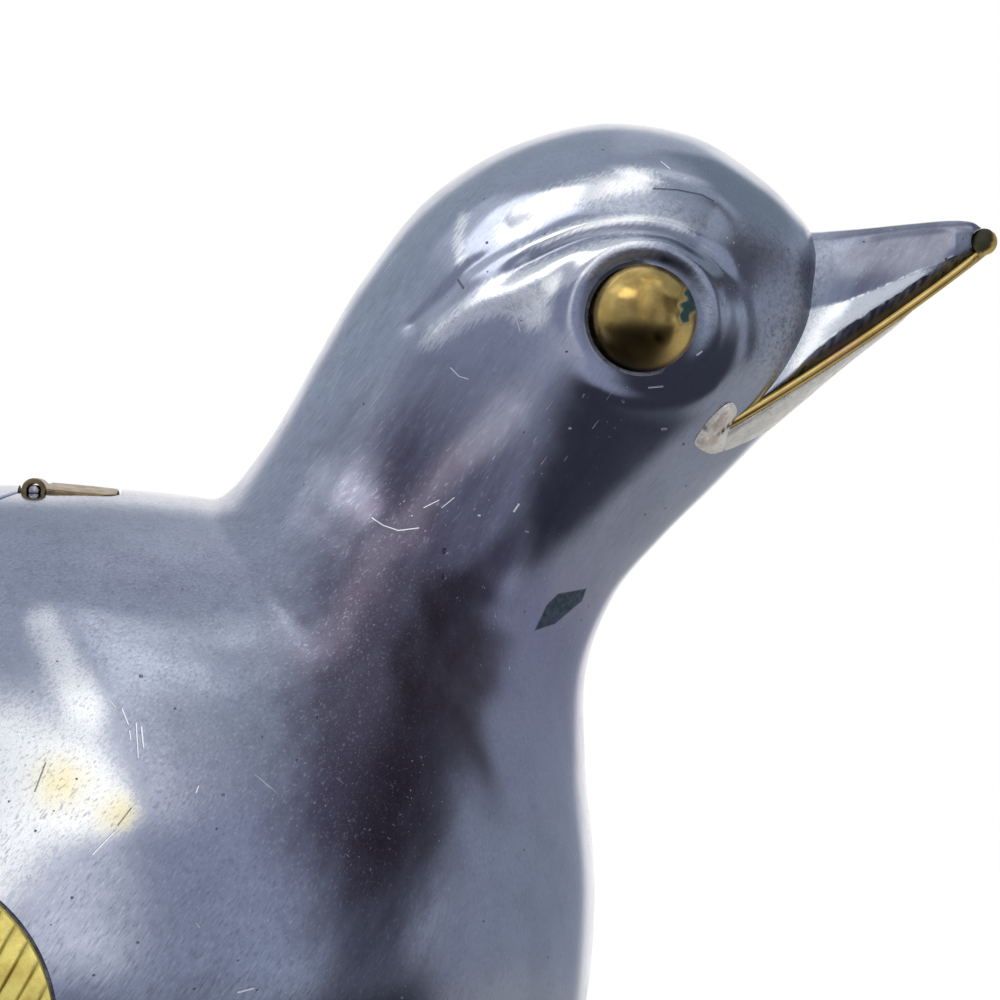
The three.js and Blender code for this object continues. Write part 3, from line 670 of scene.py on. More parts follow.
# %% Brass
def make_brass(name, polish, tarnished, clean=(0.80, 0.56, 0.19), stain=(0.50, 0.31, 0.08), metallic=1.0):
    """Brass that is tarnished in clouds and specks. Where the mesh says so it is brown-black, which is
    painted shade in the wing's strokes and rim, on the eye and on the nose, and real in the small spots on
    the eye, red like copper or green with verdigris, which isn't metallic and stands rough on the surface. On
    the nose the green is part of the painted shade."""
    material, tree, place = start_material(name)
    dark, green, copper = kept_numbers(tree, "dark", "green", "copper")
    scratches = scratch_lines(tree, place)
    base = lay_over(
        tree,
        colour(*clean),
        (spread(tree, noise(tree, place, 2.4, 5.0, 0.6), 0.40, 0.70, 0.0, tarnished), colour(*stain)),
        (spread(tree, noise(tree, place, 0.28, 3.0, 0.7), 0.58, 0.74, 0.0, 0.45), colour(0.36, 0.22, 0.07)),
        (copper, colour(0.78, 0.40, 0.27)),
        (times(tree, scratches, 0.6), colour(0.98, 0.86, 0.52)),
        # brown-black: painted shade on most pieces, real spots on the eye
        (dark, colour(0.040, 0.024, 0.010)),
        (green, colour(0.006, 0.042, 0.042)),
    )
    rough = spread(tree, noise(tree, place, 1.1, 4.0, 0.6), 0.35, 0.70, polish, polish + 0.12)
    heights = [
        (noise(tree, drawn_out(tree, place, 30, 20), 0.10, 3.0, 0.6), 0.0025),
        (noise(tree, place, 0.9, 3.0), 0.008),
        (times(tree, scratches, -1.0), 0.015),
        (times(tree, green, noise(tree, place, 0.15)), 0.06),
    ]
    metal = spread(tree, green, 0.2, 0.8, metallic, 0.15)
    return finished(material, base, metal, rough, [(dark, 0.25), (green, 0.4)], heights)


eye_brass = make_brass("eye_brass", 0.11, 0.75)
brass = make_brass("brass", 0.16, 0.6)
wing_brass = make_brass("wing_brass", 0.26, 0.8, (1.0, 0.84, 0.24), (0.70, 0.52, 0.12), 0.68)
aged_brass = make_brass("aged_brass", 0.30, 1.0, (0.30, 0.22, 0.11), (0.13, 0.10, 0.07))
print("finishes:", ", ".join(m.name for m in bpy.data.materials if m.use_nodes))

# %% [markdown]
# Relief. A plain loft is too perfect: the real head has a brow, a fold over the eye and a raised
# ring round it, all pushed into the metal by hand, and the whole sheet waves a little. Each fold is a
# smooth line in the side view with a bell-shaped section. The relief moves the skin along its normal.

# %% Lines and places in the side view: x, z
EYE = (55.4, 89.6)
EYE_RADIUS = 4.3
LID_FOLD = [(43.6, 92.2), (45.3, 93.5), (47.1, 94.6), (49.3, 95.6), (51.4, 96.3), (53.6, 96.6), (55.8, 96.6)]
LID_FOLD += [(57.6, 96.4), (59.3, 95.6), (61.1, 94.4), (62.4, 93.0)]
LIP = [(44.4, 94.3), (47.2, 95.6), (50.0, 96.8), (53.0, 97.4), (56.0, 97.4), (58.6, 96.8), (60.4, 95.9)]
BROW_HOLLOW = [(41.0, 94.2), (45.0, 96.4), (49.0, 97.9), (53.0, 98.6)]
BROW_HOLLOW += [(57.0, 98.4), (60.5, 97.2), (62.5, 95.6)]
BAND = [(37.4, 86.6), (40.0, 88.9), (43.0, 90.6), (46.3, 91.9), (49.3, 93.4)]
REAR_FOLD = [(36.4, 88.4), (37.7, 89.7), (40.3, 92.2), (41.5, 93.6), (44.5, 95.7)]
FRONT_FOLD = [(60.2, 95.0), (61.6, 93.8), (62.8, 92.3), (63.6, 90.4), (63.8, 88.0), (63.2, 85.4)]
CHEEK_FOLD = [(50.1, 85.6), (52.6, 83.5), (56.6, 82.7), (60.4, 83.7), (62.6, 86.0)]
BEAK_CREASE = [(69.0, 96.9), (68.9, 95.1), (68.6, 93.0), (68.2, 90.9)]
BEAK_CREASE += [(67.3, 89.3), (66.5, 87.4), (65.7, 84.9)]
# Folds: line, width, height. A height below 0 is a hollow.
FOLDS = [
    (LID_FOLD, 0.72, -0.50),
    (LIP, 0.60, 0.16),
    (BROW_HOLLOW, 1.9, -0.55),
    (BAND, 1.1, 0.30),
    (REAR_FOLD, 0.50, -0.16),
    (FRONT_FOLD, 0.60, -0.08),
    (CHEEK_FOLD, 0.90, 0.14),
]
# How a ring round the eye fades: its share at a right angle to its strongest direction, and that direction
OVER_EYE = (0.38, 75)
ROUND_EYE = (0.50, 105)
# The raised ring and the groove inside it: radius, width, height and how it fades
EYE_RINGS = [(5.95, 0.70, 0.34, *OVER_EYE), (4.55, 0.62, -0.36, *ROUND_EYE)]
HEAD_BOX = (30, 60)
LINE_STEPS = 60
BELL_REACH = 3.2
LINE_END_FADE = 6


# %% Relief in numbers
def near_line(x, z, points, width):
    """A bell curve of the distance to a smooth line, which fades at both ends of the line. The line is
    taken as short straight stretches, and the nearest point of each is found by a dot product."""
    line = smooth_line(points, LINE_STEPS)
    gone = np.linspace(0, 1, LINE_STEPS)
    fade = np.clip(LINE_END_FADE * np.minimum(gone, gone[::-1]), 0, 1)
    best = np.zeros(x.shape)
    low, high = line.min(0) - BELL_REACH * width, line.max(0) + BELL_REACH * width
    near = (x > low[0]) & (x < high[0]) & (z > low[1]) & (z < high[1])
    px, pz, most = x[near], z[near], best[near]
    for k in range(len(line) - 1):
        (x0, z0), (dx, dz) = line[k], line[k + 1] - line[k]
        t = np.clip(((px - x0) * dx + (pz - z0) * dz) / (dx * dx + dz * dz), 0, 1)
        gap = (px - x0 - t * dx) ** 2 + (pz - z0 - t * dz) ** 2
        most = np.maximum(most, (fade[k] + t * (fade[k + 1] - fade[k])) * np.exp(-gap / width**2))
    best[near] = most
    return best


def eye_ring(x, z, radius, width, height, middle, towards):
    """A bell curve of the distance to a circle round the eye, times a share that follows the cosine
    of the turn away from one direction: 1 in that direction and the middle share at a right angle."""
    turn = np.arctan2(z - EYE[1], x - EYE[0])
    share = np.clip(middle + (1 - middle) * np.cos(turn - math.radians(towards)), 0, 1)
    away = np.hypot(x - EYE[0], z - EYE[1]) - radius
    return height * share * np.exp(-((away / width) ** 2))


def blot(x, z, middle_x, middle_z, size):
    """A bell curve round a place of the side view."""
    return np.exp(-((x - middle_x) ** 2 + (z - middle_z) ** 2) / size**2)


def spread_out(value, low, high):
    """0 below the range, 1 above it, and smooth between."""
    share = np.clip((value - low) / (high - low), 0, 1)
    return share * share * (3 - 2 * share)


def hand_waves(points, seed=4, count=22, longest=34.0, shortest=9.0, height=0.006):
    """Sum of sine waves with random directions, lengths and starts. The longer waves stand higher,
    and both sides of the bird are alike, so that the waves cross the middle plane smoothly."""
    random = np.random.default_rng(seed)
    directions = random.normal(size=(count, 3))
    directions /= np.linalg.norm(directions, axis=1)[:, None]
    lengths = np.geomspace(shortest, longest, count)
    starts = random.uniform(0, 2 * math.pi, count)
    total = np.zeros(points.shape[:-1])
    for (x, y, z), length, start in zip(directions, lengths, starts):
        turn = 2 * math.pi / length
        wave = np.sin(turn * (points[..., 0] * x + points[..., 2] * z) + start)
        total += height * length / shortest * wave * np.cos(turn * y * points[..., 1])
    return total


def relief(points):
    """Height in millimetres of the folds, the rings round the eye and the waves of the sheet."""
    x, z = points[..., 0], points[..., 2]
    total = hand_waves(points)
    head = (x > HEAD_BOX[0]) & (z > HEAD_BOX[1])
    rise = sum(height * near_line(x[head], z[head], line, width) for line, width, height in FOLDS)
    total[head] += rise + sum(eye_ring(x[head], z[head], *ring) for ring in EYE_RINGS)
    return total


def raised(grid, height):
    """Moves each point of a grid along the surface's normal, by the given height."""
    normal = np.cross(np.gradient(grid, axis=0), np.gradient(grid, axis=1))
    normal /= np.maximum(np.linalg.norm(normal, axis=-1, keepdims=True), 1e-9)
    middle = grid.mean((0, 1))
    outwards = np.sign(((grid - middle) * normal).sum(-1).mean())
    return grid + normal * outwards * height[..., None]


# %% [markdown]
# The body. A real bird of this kind is beaten or cast in two halves that are soldered along the
# middle, with a lid cut out of the back. So each half is a solid half bird with a hollow bird cut out
# of it. The rings lie closer together at the head, where the folds are. Then the lid's opening, the
# hinge's notch, the wing's bed, the eye's socket and the flat foot are cut, as a maker would saw them.

# %% Sizes that the pieces share
SHELL_WALL = 1.8
BASE_THICKNESS = 1.2
SEAT_GAP = 0.3
LID_SEAM = 0.3
OPENING_DEPTH = 10.0
HOLLOW_FROM, HOLLOW_TO = 3.2, 22.5
HINGE_WIDTH = 12.0
KNUCKLE_RADIUS = 1.0
KNUCKLE_PROUD = 0.5
KNUCKLE_ROOM = KNUCKLE_RADIUS + SEAT_GAP
NOTCH_DEPTH = 10.0
PIN_END = 0.15
EYE_HEIGHT = 3.2
EYE_SOCKET_DEPTH = 0.8
EYE_SHANK_RADIUS = 1.0
EYE_SHANK_LENGTH = 3.4
EYE_SEAT = float(width_at(*EYE)) - EYE_SOCKET_DEPTH
WING_PROUD = 0.3
WING_RECESS = 0.5
FAR = 200.0
AXIS_X = LID_FRONT_X
AXIS_Z = back_height(LID_FRONT_X) + KNUCKLE_PROUD - KNUCKLE_RADIUS
HINGE_AXIS = (AXIS_X, AXIS_Z)


# %% Birds and closed solids that cut
def full_turn(count):
    """Evenly spaced angles all the way round."""
    return np.linspace(0, 2 * math.pi, fine(count), endpoint=False)


def hollow_bird():
    """The skin moved inwards by the wall, as a closed solid that ends behind the lid and in the head."""
    at = np.linspace(HOLLOW_FROM, HOLLOW_TO, fine(150))
    return loft("hollow", skin(at[:, None], full_turn(96), SHELL_WALL), sheet_inside)


def lid_prism(grow):
    """The lid's oval carried up through the back, square to the lid's tilted plan."""
    turn = full_turn(200)
    p, y = (LID_HALF_LENGTH + grow) * np.cos(turn), (LID_HALF_WIDTH + grow) * np.sin(turn)
    p, y, up = np.broadcast_arrays(p, y, np.array([[-OPENING_DEPTH], [FAR]]))
    cosine, sine = math.cos(LID_TILT), math.sin(LID_TILT)
    x = LID_MIDDLE[0] + p * cosine - up * sine
    z = LID_MIDDLE[2] + p * sine + up * cosine
    return loft("opening", np.stack([x, y, z], -1), pewter)


def hinge_notch():
    """A box round the knuckles, so that they can turn."""
    half = HINGE_WIDTH / 2 + PIN_END + SEAT_GAP
    low = [AXIS_X - KNUCKLE_ROOM, -half, AXIS_Z - NOTCH_DEPTH]
    return box_solid("notch", low, [AXIS_X + KNUCKLE_ROOM, half, FAR], sheet_inside)


def half_bird(name, side):
    """One half of the bird as a solid: half ovals in rings, raised by the relief."""
    body = np.linspace(0, HEAD_FROM, fine(110), endpoint=False)
    head = np.linspace(HEAD_FROM, LAST, fine(330))
    at = np.concatenate([body, head])
    grid = skin(at[:, None], np.linspace(0, math.pi, fine(180)))
    grid[:, [0, -1], 1] = 0
    grid = raised(grid, relief(grid))
    grid[:, [0, -1], 1] = 0
    grid[..., 1] *= side
    return loft(name, grid, pewter)


def whole_bird(name, start, inwards=0.0):
    """The bird as one solid, from a section on, for cutting and for the foot."""
    at = np.linspace(start, LAST, fine((LAST - start) * 12))
    grid = skin(at[:, None], full_turn(200), inwards)
    return loft(name, raised(grid, relief(grid)), pewter)


# %% [markdown]
# Flat pieces on the skin. The lid, the tab, the hinge's leaves, the solder and the beds of the wings
# are all plates: an outline drawn in plan or in side view, laid on the skin with a height over it. A
# plate is a pile of outlines: small to large on top, then round the rim, and large to small below.


# %% Plates laid on the skin
def from_above(tilt=0.0, middle=(0.0, 0.0, 0.0)):
    """A rule that lays a point of the plan on the back, at a height over the relief."""
    middle = np.asarray(middle, float)

    def lay(u, v, height):
        under = skin_under(u, v, 0.0, tilt, middle)
        return skin_under(u, v, -(height + relief(under)), tilt, middle)

    return lay


def from_the_side(side):
    """A rule that lays a point of the side view on one flank, at a height over the relief."""

    def lay(u, v, height):
        u, v, height = np.broadcast_arrays(np.asarray(u, float), v, height)
        under = np.stack([u, width_at(u, v), v], -1)
        width = width_at(u, v, -(height + relief(under)))
        return np.stack([u, side * width, v], -1)

    return lay


def outline_normals(outline):
    """Directions that point out of a closed outline."""
    along = np.roll(outline, -1, 0) - np.roll(outline, 1, 0)
    normal = np.stack([along[:, 1], -along[:, 0]], -1)
    normal /= np.maximum(np.linalg.norm(normal, axis=1, keepdims=True), 1e-9)
    area = np.sum(outline[:, 0] * np.roll(outline[:, 1], -1) - np.roll(outline[:, 0], -1) * outline[:, 1])
    return normal * np.sign(area)


def plate(name, outline, lay, top, bottom, rim, material, rows=16, crown=None):
    """A plate with a round upper rim. Its top and bottom are heights or functions of the plan, and the
    crown, a function of the plan, adds to the upper face."""
    outline = np.asarray(outline, float)
    normal, middle = outline_normals(outline), outline.mean(0)
    turn = np.linspace(0, math.pi / 2, 6)[1:]
    shares = np.linspace(0.02, 1, rows)[:, None, None]
    upper = middle + (outline - rim * normal - middle) * shares
    round_rim = outline - rim * (1 - np.sin(turn))[:, None, None] * normal
    lower = middle + (outline - middle) * shares[::-2]
    x, y = np.moveaxis(np.concatenate([upper, round_rim, lower]), -1, 0)
    fall = np.concatenate([np.zeros(rows), rim * (1 - np.cos(turn)), np.zeros(len(lower))])[:, None]
    upper_face = np.arange(len(x))[:, None] < rows + len(turn)
    top, bottom = (level(x, y) if callable(level) else level for level in (top, bottom))
    height = np.where(upper_face, top + (crown(x, y) if crown else 0.0) - fall, bottom)
    return loft(name, lay(x, y, height), material)


def oval(half_length, half_width, count, squareness=1.0, middle=0.0):
    """An oval about a point on the middle line. A squareness under 1 makes it squarer."""
    turn = full_turn(count)
    cosine, sine = np.cos(turn), np.sin(turn)
    u = middle + half_length * np.sign(cosine) * np.abs(cosine) ** squareness
    return np.stack([u, half_width * np.sign(sine) * np.abs(sine) ** squareness], -1)


def even_outline(points, count):
    """Closed outline through the given corners, with evenly spaced points."""
    points = np.asarray(points, float)
    points = np.concatenate([points, points[:1]])
    gone = np.concatenate([[0], np.cumsum(np.hypot(*np.diff(points, axis=0).T))])
    at = np.linspace(0, gone[-1], count, endpoint=False)
    return np.stack([np.interp(at, gone, points[:, k]) for k in (0, 1)], -1)


def rounded_box_outline(start, end, half, corner):
    """A rectangle in plan with four round corners."""
    turns = np.linspace(0, math.pi / 2, 9)
    corners = []
    for k, (ahead, aside) in enumerate([(1, 1), (-1, 1), (-1, -1), (1, -1)]):
        centre = ((end if ahead > 0 else start) - ahead * corner, aside * half - aside * corner)
        angle = turns + k * math.pi / 2
        corners.append(centre + corner * np.stack([np.cos(angle), np.sin(angle)], -1))
    return even_outline(np.concatenate(corners), fine(160))


# %% Wing outline
WING_FRONT = np.array([-3.3, 34.2])
WING_FRONT_RADIUS = 12.8
WING_FRONT_TURN = math.radians(8)
WING_FULLNESS = 27.0
WING_TOP_FALL = 1.5
WING_TIP = np.array([-68.0, 44.0])
WING_TIP_RUN = 21.0
WING_TIP_OVER = 5.0
WING_TIP_UNDER = 2.0


def curve(*points):
    """A cubic curve with two ends and two handles."""
    a, b, c, d = (np.asarray(p, float) for p in points)
    t = np.linspace(0, 1, 80)[:, None]
    return a * (1 - t) ** 3 + 3 * b * t * (1 - t) ** 2 + 3 * c * t**2 * (1 - t) + d * t**3


def wing_outline(grow=0.0, count=360):
    """A round front, then two curves that meet in a point near the tail."""
    radius = WING_FRONT_RADIUS + grow
    out = radius * np.array([math.sin(WING_FRONT_TURN), math.cos(WING_FRONT_TURN)])
    over, under = WING_FRONT + (-out[0], out[1]), WING_FRONT - out
    tip = WING_TIP - (grow, 0)
    handle_x = over[0] - WING_FULLNESS * math.cos(WING_FRONT_TURN)
    under_handle = (handle_x, under[1] + WING_FULLNESS * math.sin(WING_FRONT_TURN))
    over_handle = (handle_x, over[1] + WING_TOP_FALL)
    tip_x = tip[0] + WING_TIP_RUN
    lower = curve(tip, (tip_x, tip[1] - WING_TIP_UNDER + grow), under_handle, under)
    upper = curve(over, over_handle, (tip_x, tip[1] + WING_TIP_OVER + grow), tip)
    turn = np.linspace(-math.pi / 2 - WING_FRONT_TURN, math.pi / 2 + WING_FRONT_TURN, 60)
    front = WING_FRONT + radius * np.stack([np.cos(turn), np.sin(turn)], -1)
    return even_outline(np.concatenate([lower, front[1:-1], upper[:-1]]), fine(count))


# %% Marks kept in the pewter
MOTTLED_BROW = [(50.0, 97.6), (53.0, 98.3), (56.5, 98.3), (59.5, 97.4), (61.0, 96.4)]
GOUGES = [(56.5, 94.6), (58.2, 94.0), (59.6, 93.0)]
NECK_BAND = [(50.0, 85.5), (47.6, 81.0), (44.5, 76.0), (41.7, 71.0), (39.3, 66.5), (37.7, 62.0), (36.7, 57.0)]
NECK_BAND += [(36.0, 51.0), (35.2, 45.0), (34.0, 38.0), (32.0, 30.0)]
NECK_SIDE = [(40.5, 84.5), (36.6, 78.5), (34.2, 72.0), (32.2, 65.5), (31.2, 59.0), (31.6, 51.0), (31.0, 44.0)]
DULL_LORES = [(63.5, 97.5), (65.6, 95.0), (66.4, 91.5), (65.8, 88.0), (64.4, 84.5)]
BROW_ARC = [(43.4, 95.4), (45.4, 97.0), (47.4, 98.4), (49.6, 99.4)]
BROW_ARC += [(52.4, 100.1), (55.1, 100.6), (58.0, 100.2)]
EYELID = [(42.0, 90.6), (44.6, 91.7), (46.7, 92.5), (50.4, 93.9), (53.6, 94.9), (57.2, 95.2)]
FLANK_STREAK = [(7.6, 66.8), (8.6, 65.0), (10.0, 62.4), (11.4, 60.0), (13.0, 57.2)]
TEMPLE = [(41.5, 98.3), (40.9, 96.2), (41.0, 93.4)]
# Lines of each mark: points, width, share
MARK_LINES = {
    "worn": [(BEAK_CREASE, 1.4, 0.70), (MOTTLED_BROW, 0.9, 0.60), (BAND, 0.9, 0.35), (DULL_LORES, 1.8, 0.45)],
    # painted shade in the lid fold; the gouges are real dark marks
    "dark": [(LID_FOLD, 0.35, 0.30), (GOUGES, 0.35, 0.75)],
    "violet": [],
    # a brown tint painted as a dark reflection down the neck and its side
    "brown_tint": [(NECK_BAND, 5.6, 0.48), (NECK_SIDE, 6.0, 0.70)],
    # painted highlights on the brow, lip, eyelid, temple, band and flank
    "painted_highlight": [
        (BROW_ARC, 1.1, 1.15),
        (LIP, 0.42, 1.0),
        (EYELID, 1.25, 1.2),
        (TEMPLE, 0.75, 0.6),
        (BAND, 1.1, 0.8),
        (FLANK_STREAK, 1.5, 0.9),
    ],
    "warm": [],
}
# Round blots of each mark: middle x, z, size and share
# Painted warm reflections on the flank
WARM_REFLECTIONS = [(9.8, 53.2, 1.9), (14.6, 50.7, 1.6)]
# Painted highlights on the flank and beside the eye
PAINTED_HIGHLIGHTS = [(5.2, 54.5, 6.0), (11.5, 52.5, 3.5), (2.0, 47.0, 5.5), (46.6, 90.0, 1.5)]
MARK_BLOTS = {
    "worn": [(45.9, 90.4, 2.2, 0.55)],
    "violet": [(42.5, 66.0, 15.0, 0.95), (18.0, 46.0, 11.0, 0.30)],
    "painted_highlight": [(*place, 1.0) for place in PAINTED_HIGHLIGHTS] + [(*place, 0.8) for place in WARM_REFLECTIONS],
    "warm": [(*place, 1.0) for place in WARM_REFLECTIONS],
}
# Rings of each mark round the eye: radius, width, share and how it fades
# The dark ring is painted shade in the groove round the eye
MARK_RINGS = {"worn": [(5.3, 1.0, 0.45, *OVER_EYE)], "dark": [(4.65, 0.40, 0.80, *ROUND_EYE)]}


def keep_number(piece, name, values):
    """Stores a number at each point of the mesh, for the material to read."""
    kept = piece.data.attributes.new(name, "FLOAT", "POINT")
    kept.data.foreach_set("value", np.clip(values, 0, 1).astype(np.float32))


def mesh_points(piece):
    """The mesh's points in millimetres: an array each of x, y and z."""
    flat = np.empty(len(piece.data.vertices) * 3)
    piece.data.vertices.foreach_get("co", flat)
    return flat.reshape(-1, 3).T / MM


def finish_pewter(piece):
    """Shades the piece and keeps its marks: wear round the eye, the brow and the beak's root, dark lines of
    painted shade in the lid fold and in the groove round the eye, dark gouges, violet on the neck, a brown
    tint that on the neck is a painted dark reflection, and painted highlights on the brow, lip, eyelid,
    temple, band and flank, some of them warm."""
    shade(piece)
    x, _, z = mesh_points(piece)
    for name, lines in MARK_LINES.items():
        total = 0 * x
        for line, width, share in lines:
            total += share * near_line(x, z, line, width)
        for *place, share in MARK_BLOTS.get(name, []):
            total += share * blot(x, z, *place)
        for ring in MARK_RINGS.get(name, []):
            total += eye_ring(x, z, *ring)
        keep_number(piece, name, total)


# %% Build the shells
BODY_LEAF_LENGTH = 6.6
BODY_LEAF_PROUD = 0.35
BODY_LEAF_CORNER = 1.6
BODY_LEAF_BED_CORNER = 1.7
LEAF_THICKNESS = 0.5
SURE_CUT = 3.0
SOCKET_REACH = 20.0
NEEDLE = 0.01


def body_leaf_top(x, y):
    """The leaf stands proud at the knuckle and is level with the back at its front edge."""
    return BODY_LEAF_PROUD * np.clip(1 - (x - AXIS_X) / BODY_LEAF_LENGTH, 0, 1) + 0 * y


def body_leaf_outline(corner, grow=0.0):
    """A rectangle from the hinge's axis forwards, with round corners."""
    start, end = AXIS_X - grow, AXIS_X + BODY_LEAF_LENGTH + grow
    return rounded_box_outline(start, end, HINGE_WIDTH / 2 + grow, corner)


def leaf_bed():
    """A shallow bed in the back for the hinge's upper leaf."""
    outline = body_leaf_outline(BODY_LEAF_BED_CORNER, SEAT_GAP)

    def floor_of_bed(x, y):
        return body_leaf_top(x, y) - LEAF_THICKNESS - SEAT_GAP

    return plate("bed", outline, from_above(), SURE_CUT, floor_of_bed, NEEDLE, sheet_inside)


def wing_bed(side):
    """A bed in the flank for the wing, with a gap all round it."""
    outline, lay = wing_outline(SEAT_GAP), from_the_side(side)
    return plate("bed", outline, lay, SURE_CUT, -WING_RECESS, NEEDLE, sheet_inside)


def eye_socket(side):
    """A round pocket for the stud's dome, with a hole for its shank."""
    shank, rim, end = EYE_SHANK_RADIUS + SEAT_GAP, EYE_RADIUS + SEAT_GAP, EYE_SEAT + SOCKET_REACH
    profile = [(NEEDLE, 0), (shank, 0), (shank, EYE_SEAT), (rim, EYE_SEAT), (rim, end), (NEEDLE, end)]
    return turned("socket", np.multiply(profile, (1, side)), EYE, sheet_inside, 96)


def body_shell(name, side):
    """Half a bird, hollowed, with the cuts for the lid, the hinge, the foot, the wing and the eye."""
    shell = half_bird(name, side)
    cut_away(
        shell,
        hollow_bird(),
        lid_prism(LID_SEAM / 2),
        hinge_notch(),
        box_solid("under", [-FAR, -FAR, -FAR], [FAR, FAR, BASE_THICKNESS], sheet_inside),
        leaf_bed(),
        wing_bed(side),
        eye_socket(side),
    )
    finish_pewter(shell)
    return shell


fit_both(body_shell, "shell", "pewter", "body_shell")

# %% [markdown]
# The foot is a flat plate let into the belly. It is a slice of the same bird, set back by a hair so
# that its joint shows as a fine line. Soldering it in last would close the hollow from below.

# %% Base plate
FOOT_SET_BACK = 0.12
FOOT_FROM = 5
foot = whole_bird("foot_plate", FOOT_FROM, FOOT_SET_BACK)
combine(foot, box_solid("slab", [-FAR, -FAR, 0], [FAR, FAR, BASE_THICKNESS], pewter), "INTERSECT")
finish_pewter(foot)
fit(foot, "body", "pewter", "base_plate")

# %% [markdown]
# The lid is the piece that the saw took out of the back, so it has the same curve and the same waves.
# Its rim is rounded by hand. Below the opening lies a brass ledge that the lid comes down on.

# %% Lid and the ledge that it rests on
LID_RIM = 0.3
SEAT_RING_THICKNESS = 1.0
SEAT_RING_UNDER_LID = 2.5
SEAT_RING_UNDER_SHELL = 3.0
SEAT_RING_BREAK = 12.2
SEAT_RING_SOFT = 0.18
LOOKS_DOWN = -0.3


def line_under(piece, lining):
    """Gives the faces that look down the finish of the sheet's inside."""
    piece.data.materials.append(lining)
    normals = np.empty(len(piece.data.polygons) * 3)
    piece.data.polygons.foreach_get("normal", normals)
    down = normals.reshape(-1, 3)[:, 2] < LOOKS_DOWN
    piece.data.polygons.foreach_set("material_index", down.astype(np.int32))


def seat_ring():
    """A bent strip that follows the lid's oval under the shell, open at the hinge. Each ring of the
    strip has a soft upper edge on either side: from the lower edge up, across the top, and down."""
    top, soft = SHELL_WALL + SEAT_GAP, SEAT_RING_SOFT
    under, over = -SEAT_RING_UNDER_LID, SEAT_RING_UNDER_SHELL
    start = math.asin(SEAT_RING_BREAK / 2 / (LID_HALF_WIDTH + under))
    turn = np.linspace(start, 2 * math.pi - start, fine(260))[:, None]
    across = np.linspace(under, over, 10)
    across[[0, -1]] += (soft, -soft)
    grow = np.concatenate([[under], across, [over, over, under]])
    depth = np.full(len(grow), top)
    depth[[0, -3]] += soft
    depth[-2:] += SEAT_RING_THICKNESS
    p = (LID_HALF_LENGTH + grow) * np.cos(turn)
    y = (LID_HALF_WIDTH + grow) * np.sin(turn)
    return loft("seat_ring", skin_under(p, y, depth + 0 * p), brass, 35)


lid_outline = oval(LID_HALF_LENGTH - LID_SEAM / 2, LID_HALF_WIDTH - LID_SEAM / 2, 400)
lid = plate("lid", lid_outline, from_above(LID_TILT, LID_MIDDLE), 0.0, -SHELL_WALL, LID_RIM, pewter, fine(70))
line_under(lid, sheet_inside)
cut_away(lid, hinge_notch())
finish_pewter(lid)
fit(lid, "lid", "pewter", "lid_panel")
fit(seat_ring(), "body", "brass", "lid_seat_ring")

# %% [markdown]
# The hinge. Two leaves of brass sheet are rolled round a steel pin: the outer knuckles belong to the
# leaf on the back, the middle one to the leaf under the lid. Only the knuckles show when it is shut.

# %% Hinge
LID_KNUCKLE_WIDTH = 4.4
PIN_RADIUS = 0.45
PIN_CLEARANCE = 0.15
LID_LEAF_LENGTH = 7.3
LID_LEAF_WIDTH = 10.0
LID_LEAF_CORNER = 1.0
WEB_OVERLAP = 0.3
FOOT_OVERLAP = 0.02
KNUCKLE_SOFT = 0.12
LEAF_RIMS = (0.15, 0.12)


def knuckle_tube(start, end):
    """A short tube round the pin, with softened ends."""
    r, bore, s = KNUCKLE_RADIUS, PIN_RADIUS + PIN_CLEARANCE, KNUCKLE_SOFT
    profile = [(bore, start), (r - s, start), (r, start + s), (r, end - s), (r - s, end), (bore, end)]
    rings = turned_rings(profile, HINGE_AXIS, 40)
    faces = grid_faces(*rings.shape[:2], closed_rows=True, closed_columns=True)
    return mesh_piece("knuckle", rings, [faces], aged_brass, 35)


def pin_bore():
    """The hole through all knuckles."""
    radius = PIN_RADIUS + PIN_CLEARANCE
    return turned("bore", [(radius, -HINGE_WIDTH), (radius, HINGE_WIDTH)], HINGE_AXIS, aged_brass)


def body_leaf():
    """The leaf on the back with its two outer knuckles."""

    def under_side(x, y):
        return body_leaf_top(x, y) - LEAF_THICKNESS

    outline = body_leaf_outline(BODY_LEAF_CORNER)
    leaf = plate("hinge_leaf", outline, from_above(), body_leaf_top, under_side, LEAF_RIMS[0], aged_brass, 24)
    gap, room = LID_KNUCKLE_WIDTH / 2 + SEAT_GAP, KNUCKLE_ROOM
    low, high = [AXIS_X - room, -gap, AXIS_Z - room], [AXIS_X + room, gap, AXIS_Z + room]
    cut_away(leaf, box_solid("gap", low, high, aged_brass), pin_bore())
    for start, end in ((-HINGE_WIDTH / 2, -gap), (gap, HINGE_WIDTH / 2)):
        combine(leaf, knuckle_tube(start, end), "UNION")
    shade(leaf)
    return leaf


def lid_leaf():
    """The leaf under the lid, with a web up to the middle knuckle."""
    depth = SHELL_WALL + SEAT_GAP
    start, width = AXIS_X - KNUCKLE_RADIUS, LID_KNUCKLE_WIDTH / 2
    outline = rounded_box_outline(start - LID_LEAF_LENGTH, start, LID_LEAF_WIDTH / 2, LID_LEAF_CORNER)
    under = -depth - LEAF_THICKNESS
    leaf = plate("lid_hinge_leaf", outline, from_above(), -depth, under, LEAF_RIMS[1], aged_brass)
    low = [start - WEB_OVERLAP, -width, back_height(start) + under + FOOT_OVERLAP]
    combine(leaf, box_solid("web", low, [AXIS_X, width, AXIS_Z], aged_brass), "UNION")
    cut_away(leaf, pin_bore())
    combine(leaf, knuckle_tube(-width, width), "UNION")
    shade(leaf)
    return leaf


